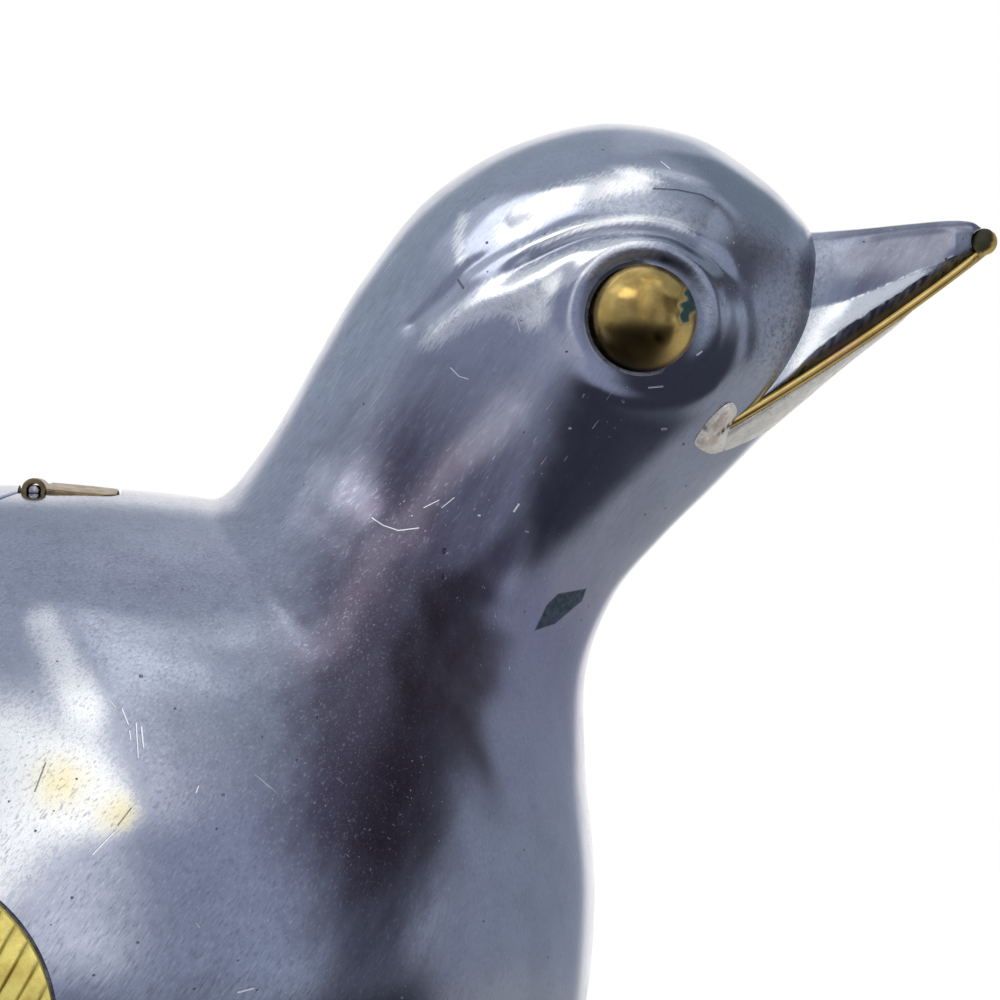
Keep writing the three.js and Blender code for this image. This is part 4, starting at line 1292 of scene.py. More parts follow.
def pin_rod():
    """The steel pin, with a low dome on either end."""
    r, end = PIN_RADIUS, HINGE_WIDTH / 2 + PIN_END
    dome = [(0.02, end), (0.5 * r, end - 0.02), (0.85 * r, end - 0.07), (r, end - 0.18)]
    return turned("hinge_pin_rod", dome + [(radius, -y) for radius, y in dome[::-1]], HINGE_AXIS, steel, 32)


fit(body_leaf(), "body", "brass", "hinge_leaf_body")
fit(lid_leaf(), "lid", "brass", "hinge_leaf_lid")
fit(pin_rod(), "body", "steel", "hinge_pin")

# %% [markdown]
# The thumb tab is a tongue of brass on the lid's rear slope. It lifts clear of the back, has a
# shallow dish for the thumb, and three filed grooves that keep the thumb from slipping.

# %% Thumb tab
TAB_ON_LID = 6.0
TAB_OVERHANG = 4.5
TAB_HALF_LENGTH = (TAB_ON_LID + TAB_OVERHANG) / 2
TAB_MIDDLE = LID_REAR_X + (TAB_ON_LID - TAB_OVERHANG) / 2
TAB_HALF_WIDTH = 4.5
TAB_THICKNESS = 0.8
TAB_RIM = 0.3
TAB_SQUARENESS = 0.7
TAB_LIFT = math.tan(math.radians(12))
TAB_DISH = 0.16
TAB_GROOVES = (-60.3, -59.2, -58.1)
TAB_GROOVE_DEPTH = 0.13
TAB_GROOVE_WIDTH = 0.16


def tab_under(x, y):
    """Height of the tab's underside over the back."""
    return SEAT_GAP + TAB_LIFT * np.maximum(LID_REAR_X - x, 0) + 0 * y


def tab_top(x, y):
    """Height of the tab's upper side over the back, without its dish."""
    return tab_under(x, y) + TAB_THICKNESS


def tab_crown(x, y):
    """The dish and the grooves."""
    away = ((x - TAB_MIDDLE) / TAB_HALF_LENGTH) ** 2 + (y / TAB_HALF_WIDTH) ** 2
    crown = -TAB_DISH * np.clip(1 - away, 0, 1)
    for line in TAB_GROOVES:
        groove = np.exp(-(((x - line) / TAB_GROOVE_WIDTH) ** 2))
        crown -= TAB_GROOVE_DEPTH * groove * np.clip(6 - 6 * away, 0, 1)
    return crown


tab_outline = oval(TAB_HALF_LENGTH, TAB_HALF_WIDTH, 220, TAB_SQUARENESS, TAB_MIDDLE)
tab = plate("lift_tab", tab_outline, from_above(), tab_top, tab_under, TAB_RIM, brass, fine(120), tab_crown)
fit(tab, "lid", "brass", "thumb_tab")

# %% [markdown]
# Wings. Each is a brass plate let into the flank and engraved with the barbs of feathers: strokes cut
# with a graver, about a millimetre and a half apart, that start thin at the rim and deepen. The rows
# of the grid run along the strokes, so that a few rows are enough for a sharp V. Towards the tail
# long strokes take over, which stand for the flight feathers. Those follow the other direction.

# %% Wing plates
WING_SEED = 11
SLOPE = math.radians(60)
SLANT = 1 / math.tan(SLOPE)
STROKE_SPACING = 1.72
STROKE_ROWS = np.array([-0.42, -0.20, -0.105, -0.045, 0.0, 0.06, 0.13, 0.27])
STROKE_HALF_WIDTH = 0.115
STROKE_DEPTH = 0.20
FIRST_STROKE = 0.55
END_ROWS = np.array([0.004, 0.02, 0.05, 0.10, 0.18, 0.28, 0.4])
END_ROOM = 0.45
# How the strokes vary: their depth, and the lengths over which their upper and lower ends thin out
STROKE_VARIETY = ((0.75, 1.0), (1.4, 3.2), (0.8, 2.0))
FLIGHT_LINES = np.array([0.16, 0.33, 0.50, 0.67, 0.84])
FLIGHT_COLUMNS = np.array([-0.020, -0.008, 0.0, 0.008, 0.020])
FLIGHT_HALF_WIDTH = 0.014
FLIGHT_DEPTH = 0.9
# Where, along x, the barbs begin and the flight feathers end
BARBS_FROM = (-52, -44)
FLIGHT_TO = (-48, -41)
COLUMN_EASE = 0.035
WING_RIM = 0.22
WING_BACK = WING_RECESS - SEAT_GAP


def stroke_rows(low, high):
    """Places of the grid's rows from front to rear, the stroke that each belongs to, or -1 near the
    wing's two ends, and the middle of each stroke."""
    middles = high - STROKE_SPACING * (FIRST_STROKE + np.arange(int((high - low) / STROKE_SPACING)))
    rows = (middles[:, None] - STROKE_SPACING * STROKE_ROWS).reshape(-1)
    which = np.repeat(np.arange(len(middles)), len(STROKE_ROWS))
    clear = (rows > low + END_ROOM) & (rows < high - END_ROOM)
    plain = np.full(len(END_ROWS), -1)
    rows = np.concatenate([high - END_ROWS, rows[clear], low + END_ROWS[::-1]])
    which = np.concatenate([plain, which[clear], plain])
    order = np.argsort(-rows, kind="stable")
    return rows[order], which[order], middles


def chord(outline, place):
    """Where a slanting line crosses the outline: its lower and its upper point. Both halves of the
    outline run between the first and the last line that touch it."""
    line = outline[:, 0] - outline[:, 1] * SLANT
    first, second = sorted((line.argmin(), line.argmax()))
    ends = []
    for half in (outline[first : second + 1], np.concatenate([outline[second:], outline[: first + 1]])):
        g = half[:, 0] - half[:, 1] * SLANT
        order = np.argsort(g)
        z = np.interp(place, g[order], half[order, 1])
        ends.append(np.stack([place + z * SLANT, z], -1))
    return sorted(ends, key=lambda end: end[:, 1].mean())


def wing_plate(name, side):
    """The plate's rings run round it along the strokes: over the face, round the rim and back below.
    The depth of a stroke falls to nothing over half its width, and thins out at both its ends."""
    random = np.random.default_rng(WING_SEED)
    outline = wing_outline(0, 1400)
    line = outline[:, 0] - outline[:, 1] * SLANT
    low, high = line.min(), line.max()
    rows, which, middles = stroke_rows(low, high)
    lower, upper = chord(outline, rows)
    length = np.hypot(*(upper - lower).T)[:, None]
    t = np.linspace(0, 1, fine(92))
    t = np.unique(np.concatenate([t, (FLIGHT_LINES[:, None] + FLIGHT_COLUMNS).reshape(-1)]))
    ease = t - COLUMN_EASE * np.sin(2 * math.pi * t)
    x, z = np.moveaxis(lower[:, None] + (upper - lower)[:, None] * ease[:, None], -1, 0)
    wobble = 0.10 * np.sin(random.uniform(0.5, 1.2) * z + 1.0)
    chosen = np.clip(which, 0, None)
    variety = [random.uniform(least, most, len(middles))[chosen] for least, most in STROKE_VARIETY]
    deep, taper_top, taper_low = np.array(variety)[..., None]

    from_tip = np.minimum(high - rows, rows - low)[:, None] * math.sin(SLOPE)
    edge = np.minimum(np.minimum(ease, 1 - ease) * length, from_tip)
    rounded = WING_RIM - np.sqrt(np.maximum(WING_RIM**2 - (WING_RIM - edge) ** 2, 0))
    fall = np.where(edge < WING_RIM, rounded, 0)
    offset = ((middles[chosen] - rows) / STROKE_SPACING)[:, None]
    cut = np.clip(1 - np.abs(offset) / STROKE_HALF_WIDTH, 0, 1) * (which >= 0)[:, None]
    ends = np.clip((1 - ease) * length / taper_top, 0, 1) * np.clip(ease * length / taper_low, 0, 1)
    stroke = deep * cut * np.sqrt(ends) * spread_out(x + wobble, *BARBS_FROM)
    flight = np.clip(1 - np.abs(t - FLIGHT_LINES[:, None]).min(0) / FLIGHT_HALF_WIDTH, 0, 1)
    flight = flight * (1 - spread_out(x, *FLIGHT_TO)) * spread_out(from_tip, 1.0, 4.0)
    engraved = np.maximum(stroke, FLIGHT_DEPTH * flight)

    lay = from_the_side(side)
    face = lay(x, z, WING_PROUD - fall - STROKE_DEPTH * engraved)
    back_shares = np.array([1.0, 0.66, 0.33, 0.0])[:, None]
    back = lay(*np.moveaxis(lower[:, None] + (upper - lower)[:, None] * back_shares, -1, 0), -WING_BACK)
    wing = loft(name, np.concatenate([face, back], 1), wing_brass, 30)
    shadow = np.concatenate([np.maximum(0.75 * engraved, 0.5 * (fall > 0.1)), np.zeros(back.shape[:2])], 1)
    keep_number(wing, "dark", np.concatenate([shadow.reshape(-1), [0, 0]]))
    return wing


fit_both(wing_plate, "wing", "brass", "wing_plate")

# %% [markdown]
# Eyes. Each is a domed stud of yellow brass pushed into a round socket. A broad dark brown patch is
# painted on the lower half of the dome as its dark reflection, a weaker one over the middle is painted
# shade, the rim is painted with shade where it meets the socket, small red-brown spots lie under the
# shine, and verdigris has grown at the front of the rim, so the mesh carries their places.

# %% Eyes
EYE_RIM = 0.14
EYE_RIM_SHADE = 0.22
GREEN_SPOTS = [((59.1, 90.5), 0.95), ((58.6, 89.5), 0.50), ((59.0, 91.6), 0.55)]
# Brown-black spots: middle, size and share. The first is a painted dark reflection on the lower half, the
# second painted shade, and the last two are real spots.
PAINTED_SHADE_AND_RED_SPOTS = [((54.9, 87.1), 2.75, 0.97), ((55.8, 91.0), 1.5, 0.45)]
PAINTED_SHADE_AND_RED_SPOTS += [((57.0, 88.2), 0.7, 0.3), ((58.2, 89.9), 0.3, 0.4)]


def eye_stud(name, side):
    """A round cap over a short shank, turned about the line through the eye. Its radius of curvature
    follows from the width and the height of the cap. A spot's share falls with the fourth power of
    the distance, which gives it a soft but clear edge."""
    back = EYE_SEAT + SEAT_GAP
    big = (EYE_RADIUS**2 + EYE_HEIGHT**2) / (2 * EYE_HEIGHT)
    angle = np.linspace(math.asin(EYE_RADIUS / big) * 0.965, 0.004, fine(56))
    cap = np.stack([big * np.sin(angle), back + EYE_HEIGHT - big * (1 - np.cos(angle))], 1)
    rim = [(EYE_RADIUS - EYE_RIM, back), (EYE_RADIUS - 0.03, back + 0.04), (EYE_RADIUS - 0.005, back + 0.10)]
    end = back - EYE_SHANK_LENGTH
    shank = [(0.02, end), (EYE_SHANK_RADIUS - 0.2, end)]
    shank += [(EYE_SHANK_RADIUS, end + 0.2), (EYE_SHANK_RADIUS, back)]
    profile = np.concatenate([shank, rim, cap])
    stud = turned(name, profile * (1, side), EYE, eye_brass, fine(128), 50)
    x, y, z = mesh_points(stud)
    wander = 0.16 * np.sin(4.1 * x + 2.3 * z) + 0.12 * np.sin(7.7 * z - 3.1 * x)
    green = sum(np.clip(1.6 - 1.3 * np.hypot(x - a, z - b) / r + wander, 0, 1) for (a, b), r in GREEN_SPOTS)
    red = sum(share * np.exp(-((np.hypot(x - a, z - b) / r) ** 4)) for (a, b), r, share in PAINTED_SHADE_AND_RED_SPOTS)
    from_rim = np.hypot(x - EYE[0], z - EYE[1]) - EYE_RADIUS
    rim_shade = np.where(y * side > back - 0.1, np.exp(-((from_rim / EYE_RIM_SHADE) ** 2)), 0)
    keep_number(stud, "green", green)
    # dark: painted dark reflection and painted shade on the dome and at its rim, and real spots
    keep_number(stud, "dark", red + 0.45 * rim_shade)
    return stud


fit_both(eye_stud, "eye", "brass", "eye_stud")

# %% [markdown]
# The beak is three pieces soldered on the head: an upper half, a brass strip that follows the mouth
# and ends in a rounded nose, and a duller lower half. The upper half has a narrow bevel filed along
# the mouth, a little uneven, which catches dark reflections above the bright strip and is painted dark
# as shade as well.

# %% Beak lines
MOUTH_ROOT, MOUTH_SAG, MOUTH_END = np.array([[60.5, 80.2], [73.05, 87.4], [83.3, 95.5]])
MOUTH_PLATE_THICKNESS = 0.8
MOUTH_PLATE_PROUD = 0.35
NOSE = np.array([82.85, 95.85])
NOSE_RADIUS = 1.07
NOSE_WIDTH = 1.2
SEAM = 0.02
HEAD_BLOCK_FROM = 17
TABLE_STEPS = 400
# The upper beak's ridge: x, z and the beak's half width at the mouth
RIDGE = [(63, 96.2, 7.5), (66, 96.4, 7.0), (69, 96.6, 6.0), (73, 96.9, 4.5)]
RIDGE += [(77, 97.3, 3.2), (80, 97.55, 2.2), (81.8, 97.45, 1.5), (82.6, 97.0, 0.9)]
CHIN = [(62, 78.2), (65, 80.3), (67, 81.9), (69, 83.6), (71, 85.3)]
CHIN += [(73, 86.9), (75, 88.45), (76.2, 89.45), (77.0, 90.24)]


def mouth_at(t):
    """The mouth's curve: it starts towards the sag's handle and ends coming from it."""
    return MOUTH_ROOT * (1 - t) ** 2 + 2 * MOUTH_SAG * t * (1 - t) + MOUTH_END * t**2


mouth_line = mouth_at(np.linspace(0, 1, TABLE_STEPS)[:, None])
mouth_slope = math.atan2(*(MOUTH_END - MOUTH_ROOT)[::-1])
PLATE_HALF = MOUTH_PLATE_THICKNESS / 2 / math.cos(mouth_slope)


def mouth_height(x, side=0):
    """Height of the middle of the mouth plate, or of the seam above it or below it."""
    return np.interp(x, mouth_line[:, 0], mouth_line[:, 1]) + side * PLATE_HALF + side * SEAM


def smooth_table(x, table, column=1):
    """Value at x of a smooth curve through the rows of a table whose first column is x."""
    line = smooth_line(table, TABLE_STEPS)
    return np.interp(x, line[:, 0], line[:, column])


def beak_half_width(x):
    """Half width of the beak at the mouth plate."""
    return smooth_table(x, RIDGE, 2)


def cut_to_head(piece):
    """Cuts the piece to the surface of the head."""
    cut_away(piece, whole_bird("head", HEAD_BLOCK_FROM))


# %% Upper beak
BEVEL = [(62.0, 0.0), (64.5, 0.0), (67.0, 0.35), (69.0, 1.0), (71.0, 1.35)]
BEVEL += [(74.0, 1.30), (77.0, 1.15), (80.0, 0.95), (82.0, 0.70), (82.6, 0.5)]
BEVEL_INSET = 0.42
BEVEL_LUMPS = 0.022
# The flare at the beak's root: x, its height over the mouth and how much it pinches the sides
FLARE = [(63.0, 6.0, 0.0), (66.0, 5.5, 0.12), (69.0, 4.6, 0.26), (72.2, 3.3, 0.30)]
FLARE += [(75.8, 2.3, 0.26), (78.2, 1.6, 0.16), (80.5, 0.5, 0.0)]
FLARE_END = 79.5


def bevel_height(x):
    """Height of the filed bevel over the mouth."""
    return np.maximum(smooth_table(x, BEVEL), 0)


def mark_upper_beak(beak):
    """The bevel and the crease are painted dark as shade, the root is worn, the flare over the bevel has a
    painted highlight and the rest has a brown tint that deepens towards the tip.
    """
    x, _, z = mesh_points(beak)
    above, bevel = z - mouth_height(x, 1), bevel_height(x)
    # painted shade on the bevel and in the crease, and a painted highlight on the flare
    dark = 0.86 * np.clip(1.3 - above / np.maximum(bevel, 0.05), 0, 1) * (bevel > 0.05)
    in_flare = spread_out(smooth_table(x, FLARE) - above, -0.35, 0.30)
    in_flare = in_flare * spread_out(above, bevel, bevel + 0.1) * spread_out(FLARE_END - x, 0, 2.5)
    keep_number(beak, "dark", dark + 0.35 * near_line(x, z, BEAK_CREASE, 0.35))
    keep_number(beak, "worn", 0.75 * near_line(x, z, BEAK_CREASE, 1.7))
    keep_number(beak, "painted_highlight", in_flare)
    keep_number(beak, "brown_tint", (0.16 + 0.34 * spread_out(x, 69, 74)) * (1 - in_flare))


def upper_beak():
    """Half ovals standing on the mouth plate, with the lowest part cut back to a bevel. The bevel's
    height waves along the mouth, and its face has low lumps that vanish at its two edges."""
    x = np.linspace(RIDGE[0][0], RIDGE[-1][0], fine(240))[:, None]
    flat = mouth_height(x, 1)
    reach = smooth_table(x, RIDGE) - flat
    plain_bevel = bevel_height(x)
    bevel = plain_bevel * (1 + 0.05 * np.sin(2.3 * x) + 0.03 * np.sin(5.9 * x + 1))
    start = np.arcsin(np.clip(bevel / reach, 0, 0.7))
    angle = start + (math.pi / 2 - start) * np.linspace(0, 1, fine(80))
    width = beak_half_width(x)
    up = reach * np.sin(angle)
    risen = np.clip((up - plain_bevel) / np.maximum(smooth_table(x, FLARE) - plain_bevel, 0.2), 0, 1)
    out = width * np.cos(angle) * (1 - smooth_table(x, FLARE, 2) * risen)
    steps = np.linspace(0, 1, 7)[:-1]
    inset = BEVEL_INSET * np.clip(bevel / 0.8, 0, 1) * np.clip(width / 2, 0.25, 1)
    lumps = np.sin(3.1 * x + 4 * steps) + 0.7 * np.sin(7.7 * x - 6 * steps + 1)
    bevel_out = width * np.cos(start) - inset * (1 - steps) + BEVEL_LUMPS * lumps * 4 * steps * (1 - steps)
    up, out = np.concatenate([bevel * steps, up], 1), np.concatenate([bevel_out, out], 1)
    right = np.stack([x + 0 * up, -out, flat + up], -1)
    left = (right * (1, -1, 1))[:, -2::-1]
    beak = loft("upper_beak", np.concatenate([right, left], 1), pewter, 35)
    cut_to_head(beak)
    cut_away(beak, turned("nose", [(NOSE_RADIUS + SEAM, -5), (NOSE_RADIUS + SEAM, 5)], NOSE, pewter, 64))
    shade(beak, 24)
    mark_upper_beak(beak)
    return beak


fit(upper_beak(), "body", "pewter", "beak_upper")

# %% Mouth plate
COPPER_SPOT = (70.9, 88.2, 1.3)
TIP_SHADE = (82.3, 96.2, 1.28)
TIP_FROM_X = 81.6
NOSE_SOFT = 0.05


def mouth_plate():
    """Long flat rings with round edges, square to the mouth's curve, that swell into the nose: a
    circle's height over the strip, lifted above its middle, and a round end seen from above."""
    t = np.linspace(0, 1, fine(300))[:, None]
    line = mouth_at(t)
    along = 2 * (MOUTH_SAG - MOUTH_ROOT) * (1 - t) + 2 * (MOUTH_END - MOUTH_SAG) * t
    along /= np.linalg.norm(along, axis=1, keepdims=True)
    end = along[-1]
    past = (MOUTH_END - NOSE) @ end
    lift = (NOSE - MOUTH_END) @ np.array([-end[1], end[0]])
    beyond = NOSE_RADIUS * np.sin(np.linspace(math.asin(past / NOSE_RADIUS), math.pi / 2, 24)[1:]) - past
    line = np.concatenate([line, MOUTH_END + beyond[:, None] * end])
    along = np.concatenate([along, np.repeat(end[None], len(beyond), 0)])
    across = np.stack([-along[:, 1], along[:, 0]], 1)
    away = (line - NOSE) @ end
    bulb = np.sqrt(np.clip(NOSE_RADIUS**2 - away**2, 1e-4, None)) * (np.abs(away) < NOSE_RADIUS)
    half = MOUTH_PLATE_THICKNESS / 2
    high = np.where(bulb > 0, np.maximum(half, lift + bulb), half)
    low = np.where(bulb > 0, np.minimum(-half, lift - bulb), -half)
    gone = away > past + 1e-6
    high, low = np.where(gone, lift + bulb, high), np.where(gone, lift - bulb, low)
    middle, thick = (high + low) / 2, (high - low) / 2
    ahead = np.maximum(away, 0) / (NOSE_RADIUS + NOSE_SOFT)
    round_nose = (NOSE_WIDTH + NOSE_SOFT) * np.sqrt(np.clip(1 - ahead**2, 0, 1))
    width = beak_half_width(line[:, 0]) + MOUTH_PLATE_PROUD
    width = np.maximum(np.where(away > 0, np.minimum(width, round_nose), width), thick)
    turn = np.linspace(-math.pi / 2, math.pi / 2, 13)
    y = np.concatenate([width[:, None] - thick[:, None] * (1 - np.cos(turn))] * 2, 1)
    y[:, len(turn) :] *= -1
    v = np.concatenate([np.sin(turn), -np.sin(turn)]) * thick[:, None] + middle[:, None]
    x = line[:, :1] + across[:, :1] * v
    z = line[:, 1:] + across[:, 1:] * v
    strip = loft("mouth_strip", np.stack([x, y, z], -1), brass, 45)
    cut_to_head(strip)
    shade(strip, 45)
    x, _, z = mesh_points(strip)
    # Painted shade on the nose: all of it but a crescent at the front is darkened, with the verdigris colour
    # mixed in to make it slate
    under_tip = TIP_SHADE[2] - np.hypot(x - TIP_SHADE[0], z - TIP_SHADE[1])
    tip_share = spread_out(under_tip, 0, 0.12) * (x > TIP_FROM_X)
    keep_number(strip, "dark", 0.92 * tip_share)
    keep_number(strip, "green", 0.45 * tip_share)
    keep_number(strip, "copper", 0.9 * blot(x, z, *COPPER_SPOT))
    return strip


fit(mouth_plate(), "body", "brass", "beak_mouth_plate")


# %% Lower beak
def lower_beak():
    """Half ovals hanging under the mouth plate, narrowing to the chin's front end."""
    chin = smooth_line(CHIN, fine(160))
    x = chin[:, :1]
    flat = mouth_height(x, -1)
    reach = np.maximum(flat - chin[:, 1:], 0.02)
    angle = np.linspace(0, math.pi, fine(96))
    rings = np.stack([x + 0 * angle, -beak_half_width(x) * np.cos(angle), flat - reach * np.sin(angle)], -1)
    beak = loft("lower_beak", rings, dull_pewter, 35)
    cut_to_head(beak)
    shade(beak)
    return beak


fit(lower_beak(), "body", "dull_pewter", "beak_lower")

# %% [markdown]
# A lump of solder closes each corner of the mouth. It was melted on, so it is thickest in the middle,
# thins to nothing at its edge, and stands in small round lumps with a crack across it.

# %% Solder
SOLDER_CORNERS = [(59.6, 79.7), (60.2, 80.9), (61.3, 82.2), (62.4, 82.95), (62.9, 82.5), (62.85, 81.75)]
SOLDER_CORNERS += [(62.4, 81.0), (62.35, 79.7), (61.7, 79.0), (60.6, 78.95)]
SOLDER_HEIGHT = 0.42
SOLDER_EDGE_FALL = 0.40
SOLDER_EDGE_WIDTH = 0.35
SOLDER_RIM = 0.03
SOLDER_LUMPS = [((62.3, 82.4), 0.5, 0.16), ((61.5, 80.9), 0.55, 0.10)]
SOLDER_LUMPS += [((60.4, 79.8), 0.5, 0.12), ((61.3, 79.7), 0.4, 0.08)]
SOLDER_CRACK = [(61.3, 80.3), (61.9, 80.75), (62.5, 81.3), (63.1, 81.8)]
SOLDER_HOLE = (60.4, 80.9, 0.22)
CRACK_DASH = 0.42
# The first corners are given once more at the end, and the last one at the start, so that the curve closes
closed_corners = SOLDER_CORNERS[-1:] + SOLDER_CORNERS + SOLDER_CORNERS[:2]
solder_outline = run_through(closed_corners, 1 + np.linspace(0, len(SOLDER_CORNERS), 80, endpoint=False))


def solder_crown(x, z):
    """Thins towards the edge, with lumps and a crack."""
    edge = even_outline(solder_outline, 200)
    gap = np.sqrt(((x[..., None] - edge[:, 0]) ** 2 + (z[..., None] - edge[:, 1]) ** 2).min(-1))
    crown = -SOLDER_EDGE_FALL * np.exp(-((gap / SOLDER_EDGE_WIDTH) ** 2))
    crown += sum(height * blot(x, z, *place, size) for place, size, height in SOLDER_LUMPS)
    return crown - 0.12 * near_line(x, z, SOLDER_CRACK, 0.10)


def solder_lump(name, side):
    """A plate on the cheek under the corner of the mouth."""
    outline, lay = even_outline(solder_outline, fine(120)), from_the_side(side)
    lump = plate(name, outline, lay, SOLDER_HEIGHT, SEAM, SOLDER_RIM, solder, fine(40), solder_crown)
    shade(lump, 50)
    x, _, z = mesh_points(lump)
    dashes = (np.sin(2 * math.pi * x / CRACK_DASH) > -0.3) * near_line(x, z, SOLDER_CRACK, 0.13)
    keep_number(lump, "dark", 0.9 * dashes + 0.8 * blot(x, z, *SOLDER_HOLE))
    return lump


fit_both(solder_lump, "solder", "dull_pewter", "mouth_solder")

# %% [markdown]
# The stage is a plain pale floor and soft studio light. Polished metal shows what stands round it, so
# its look comes from large soft boxes and dark screens: a broad box high in front, a narrow bright one
# beside the camera, dark screens low in front, which give the deep band down the neck, and pale walls
# behind. They are painted on one dome round the bird, flattened onto the floor, that only
# reflections see.

# %% Floor and light
FLOOR_SIZE = 30.0
FLOOR_COLOUR = colour(0.80, 0.80, 0.80)
FLOOR_ROUGHNESS = 0.9
FLOOR_GLOW = 0.25
WHITE = colour(1, 1, 1)
SKY_LEVEL = 0.95
DOME_MIDDLE = (0.03, 0.075)
DOME_RADIUS = 0.6
DOME_FLOOR = 0.0006
WALL_TINT = (0.50, 0.545, 0.61)
# Azimuths, elevations, softness of the edge in degrees, rise of elevation per degree, and colour.
# The azimuth runs from the camera towards the beak. Later rows lie over earlier ones.
SOFT_BOXES = [
    ((-180, 180), (60, 100), 14, 0, (0.54, 0.58, 0.65)),
    ((-180, 180), (-100, -6), 10, 0, (0.45, 0.46, 0.47)),
    ((-120, 72), (-100, -7), 16, 0, (0.06, 0.06, 0.08)),
    ((-180, 180), (-100, -44), 30, 0, (0.34, 0.35, 0.37)),
    ((-60, -4), (-8, 44), 14, 0, (0.38, 0.41, 0.50)),
    ((-6, 46), (-8, 36), 14, 0, (0.44, 0.475, 0.58)),
    ((72, 150), (-14, 20), 10, 0, (0.37, 0.40, 0.47)),
    ((74, 150), (22, 64), 14, 0, (0.30, 0.345, 0.39)),
    ((152, 176), (24, 76), 12, 0, (0.66, 0.70, 0.76)),
    ((48, 94), (20, 38), 12, -0.5, (0.10, 0.088, 0.098)),
    ((46, 73), (6, 34), 12, 0, (0.12, 0.115, 0.14)),
    ((45, 63), (-9, 9), 10, 0, (0.17, 0.175, 0.22)),
    ((60, 92), (60, 76), 10, 0, (0.95, 0.98, 1.0)),
    ((152, 208), (-12, 34), 14, 0, (1.15, 1.12, 1.10)),
    ((-100, -10), (42, 60), 9, 0, (0.84, 0.88, 0.94)),
    ((-62, -12), (43, 59), 9, 0, (2.05, 2.06, 2.06)),
    ((-2, 12), (0, 34), 10, 0, (1.15, 1.15, 1.15)),
    ((-2, 25), (30, 64), 10, 0, (1.12, 1.13, 1.14)),
    ((14, 40), (60, 88), 12, 0, (1.25, 1.27, 1.30)),
    ((34, 62), (72, 88), 10, 0, (0.95, 0.98, 1.02)),
]


def glow_where_seen(tree, strength):
    """A strength that only the camera, reflections and clear materials see."""
    path = add_node(tree, "LightPath")
    rays = [path.outputs[f"Is {kind} Ray"] for kind in ("Camera", "Glossy", "Transmission")]
    return times(tree, reckon(tree, "MAXIMUM", *rays), strength)


def stage_mesh(name, points, faces):
    """A piece of the stage from points in metres, and the node tree of its own material."""
    mesh = bpy.data.meshes.new(name)
    mesh.from_pydata([tuple(p) for p in points], [], faces)
    material = bpy.data.materials.new(name)
    material.use_nodes = True
    mesh.materials.append(material)
    return add_object(name, mesh), material.node_tree


def make_floor():
    """A very large pale floor, lit by the lamps, with a little glow that lifts it to white."""
    half = FLOOR_SIZE / 2
    corners = [(-half, -half, 0), (half, -half, 0), (half, half, 0), (-half, half, 0)]
    piece, tree = stage_mesh("floor", corners, [(0, 1, 2, 3)])
    shader = tree.nodes["Principled BSDF"]
    shader.inputs["Base Color"].default_value = FLOOR_COLOUR
    shader.inputs["Roughness"].default_value = FLOOR_ROUGHNESS
    shader.inputs["Specular IOR Level"].default_value = 0.0
    shader.inputs["Emission Color"].default_value = WHITE
    tree.links.new(glow_where_seen(tree, FLOOR_GLOW), shader.inputs["Emission Strength"])
    return piece


def toward(azimuth, elevation, distance):
    """A point seen from the bird in a direction."""
    a, e = np.radians(azimuth), np.radians(elevation)
    x = distance * np.cos(e) * np.sin(a) + DOME_MIDDLE[0]
    y = -distance * np.cos(e) * np.cos(a)
    return np.stack([x, y, distance * np.sin(e) + DOME_MIDDLE[1]], -1)


def soft_between(value, low, high, soft):
    """1 between two values, fading to 0 over a soft edge."""
    rise = spread_out(value, low - soft / 2, low + soft / 2)
    return rise * spread_out(-value, -high - soft / 2, -high + soft / 2)


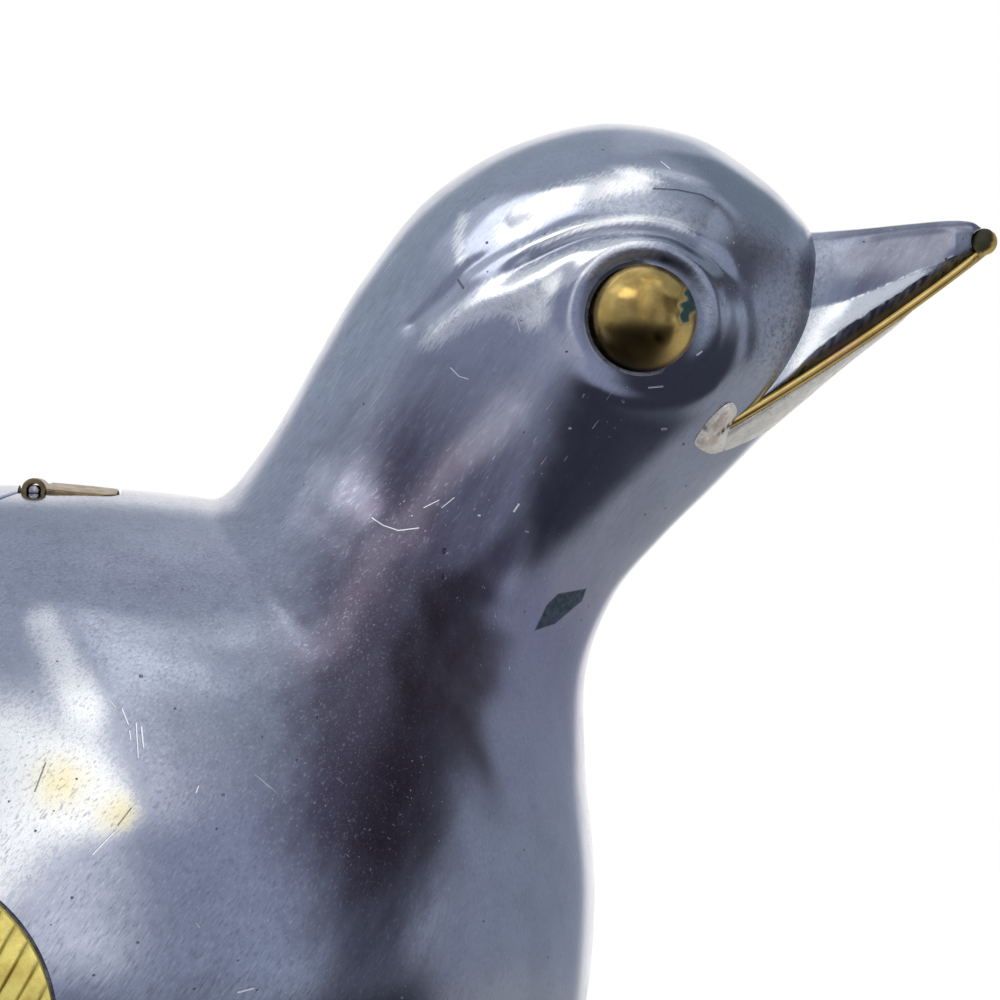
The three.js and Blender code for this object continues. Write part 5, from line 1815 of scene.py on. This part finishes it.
def surroundings():
    """The dome, whose points lie on a sphere or, below the horizon, just over the floor. Each row of
    the table of soft boxes is mixed over the ones before it."""
    a, e = np.meshgrid(np.linspace(-180, 180, 241), np.linspace(-90, 90, 181), indexing="ij")
    tint = np.zeros(a.shape + (3,)) + WALL_TINT
    for (a0, a1), (e0, e1), soft, rise, patch in SOFT_BOXES:
        off = (a - (a0 + a1) / 2 + 180) % 360 - 180
        share = soft_between(off, (a0 - a1) / 2, (a1 - a0) / 2, soft) if a1 - a0 < 360 else 1
        share = share * soft_between(e - rise * off, e0, e1, soft)
        tint += (np.array(patch) - tint) * share[..., None]
    drop = np.sin(np.radians(np.minimum(e, -1)))
    distance = np.where(e < -1, np.minimum(DOME_RADIUS, (DOME_MIDDLE[1] - DOME_FLOOR) / -drop), DOME_RADIUS)
    points = toward(a, e, distance)
    piece, tree = stage_mesh("soft_boxes", points.reshape(-1, 3), grid_faces(*a.shape).tolist())
    kept = piece.data.attributes.new("tint", "FLOAT_COLOR", "POINT")
    kept.data.foreach_set("color", np.concatenate([tint, np.ones(a.shape + (1,))], -1).reshape(-1))
    seen = add_node(tree, "Attribute", attribute_name="tint").outputs["Color"]
    glow = add_node(tree, "Emission", {"Color": seen, "Strength": 1.0})
    tree.links.new(glow.outputs[0], tree.nodes["Material Output"].inputs["Surface"])
    piece.visible_camera = False
    piece.visible_diffuse = False
    piece.visible_shadow = False
    return piece


def soft_lamp(name, azimuth, elevation, distance, size, power):
    """An area lamp that looks at the bird. It throws the shadow and leaves the shine to the dome."""
    data = bpy.data.lights.new(name, "AREA")
    data.shape = "RECTANGLE"
    data.size, data.size_y = size
    data.energy = power
    lamp = add_object(name, data)
    lamp.location = toward(azimuth, elevation, distance)
    lamp.rotation_euler = (math.pi / 2 - math.radians(elevation), 0, math.radians(azimuth))
    lamp.visible_camera = False
    lamp.visible_glossy = False
    return lamp


def white_room():
    """A world that the camera and reflections see as white, and that lights the rest a little less."""
    world = bpy.data.worlds.new("white_room")
    world.use_nodes = True
    tree = world.node_tree
    level = reckon(tree, "MAXIMUM", glow_where_seen(tree, 1.0), SKY_LEVEL)
    tree.links.new(level, tree.nodes["Background"].inputs["Strength"])
    tree.nodes["Background"].inputs["Color"].default_value = WHITE
    return world


floor = make_floor()
dome = surroundings()
key = soft_lamp("key", -25, 52, 0.70, (0.45, 0.35), 1.2)
bpy.context.scene.world = white_room()
bpy.context.scene.view_settings.view_transform = "Standard"
print("stage has a floor, a dome with", len(SOFT_BOXES), "soft boxes and one lamp")
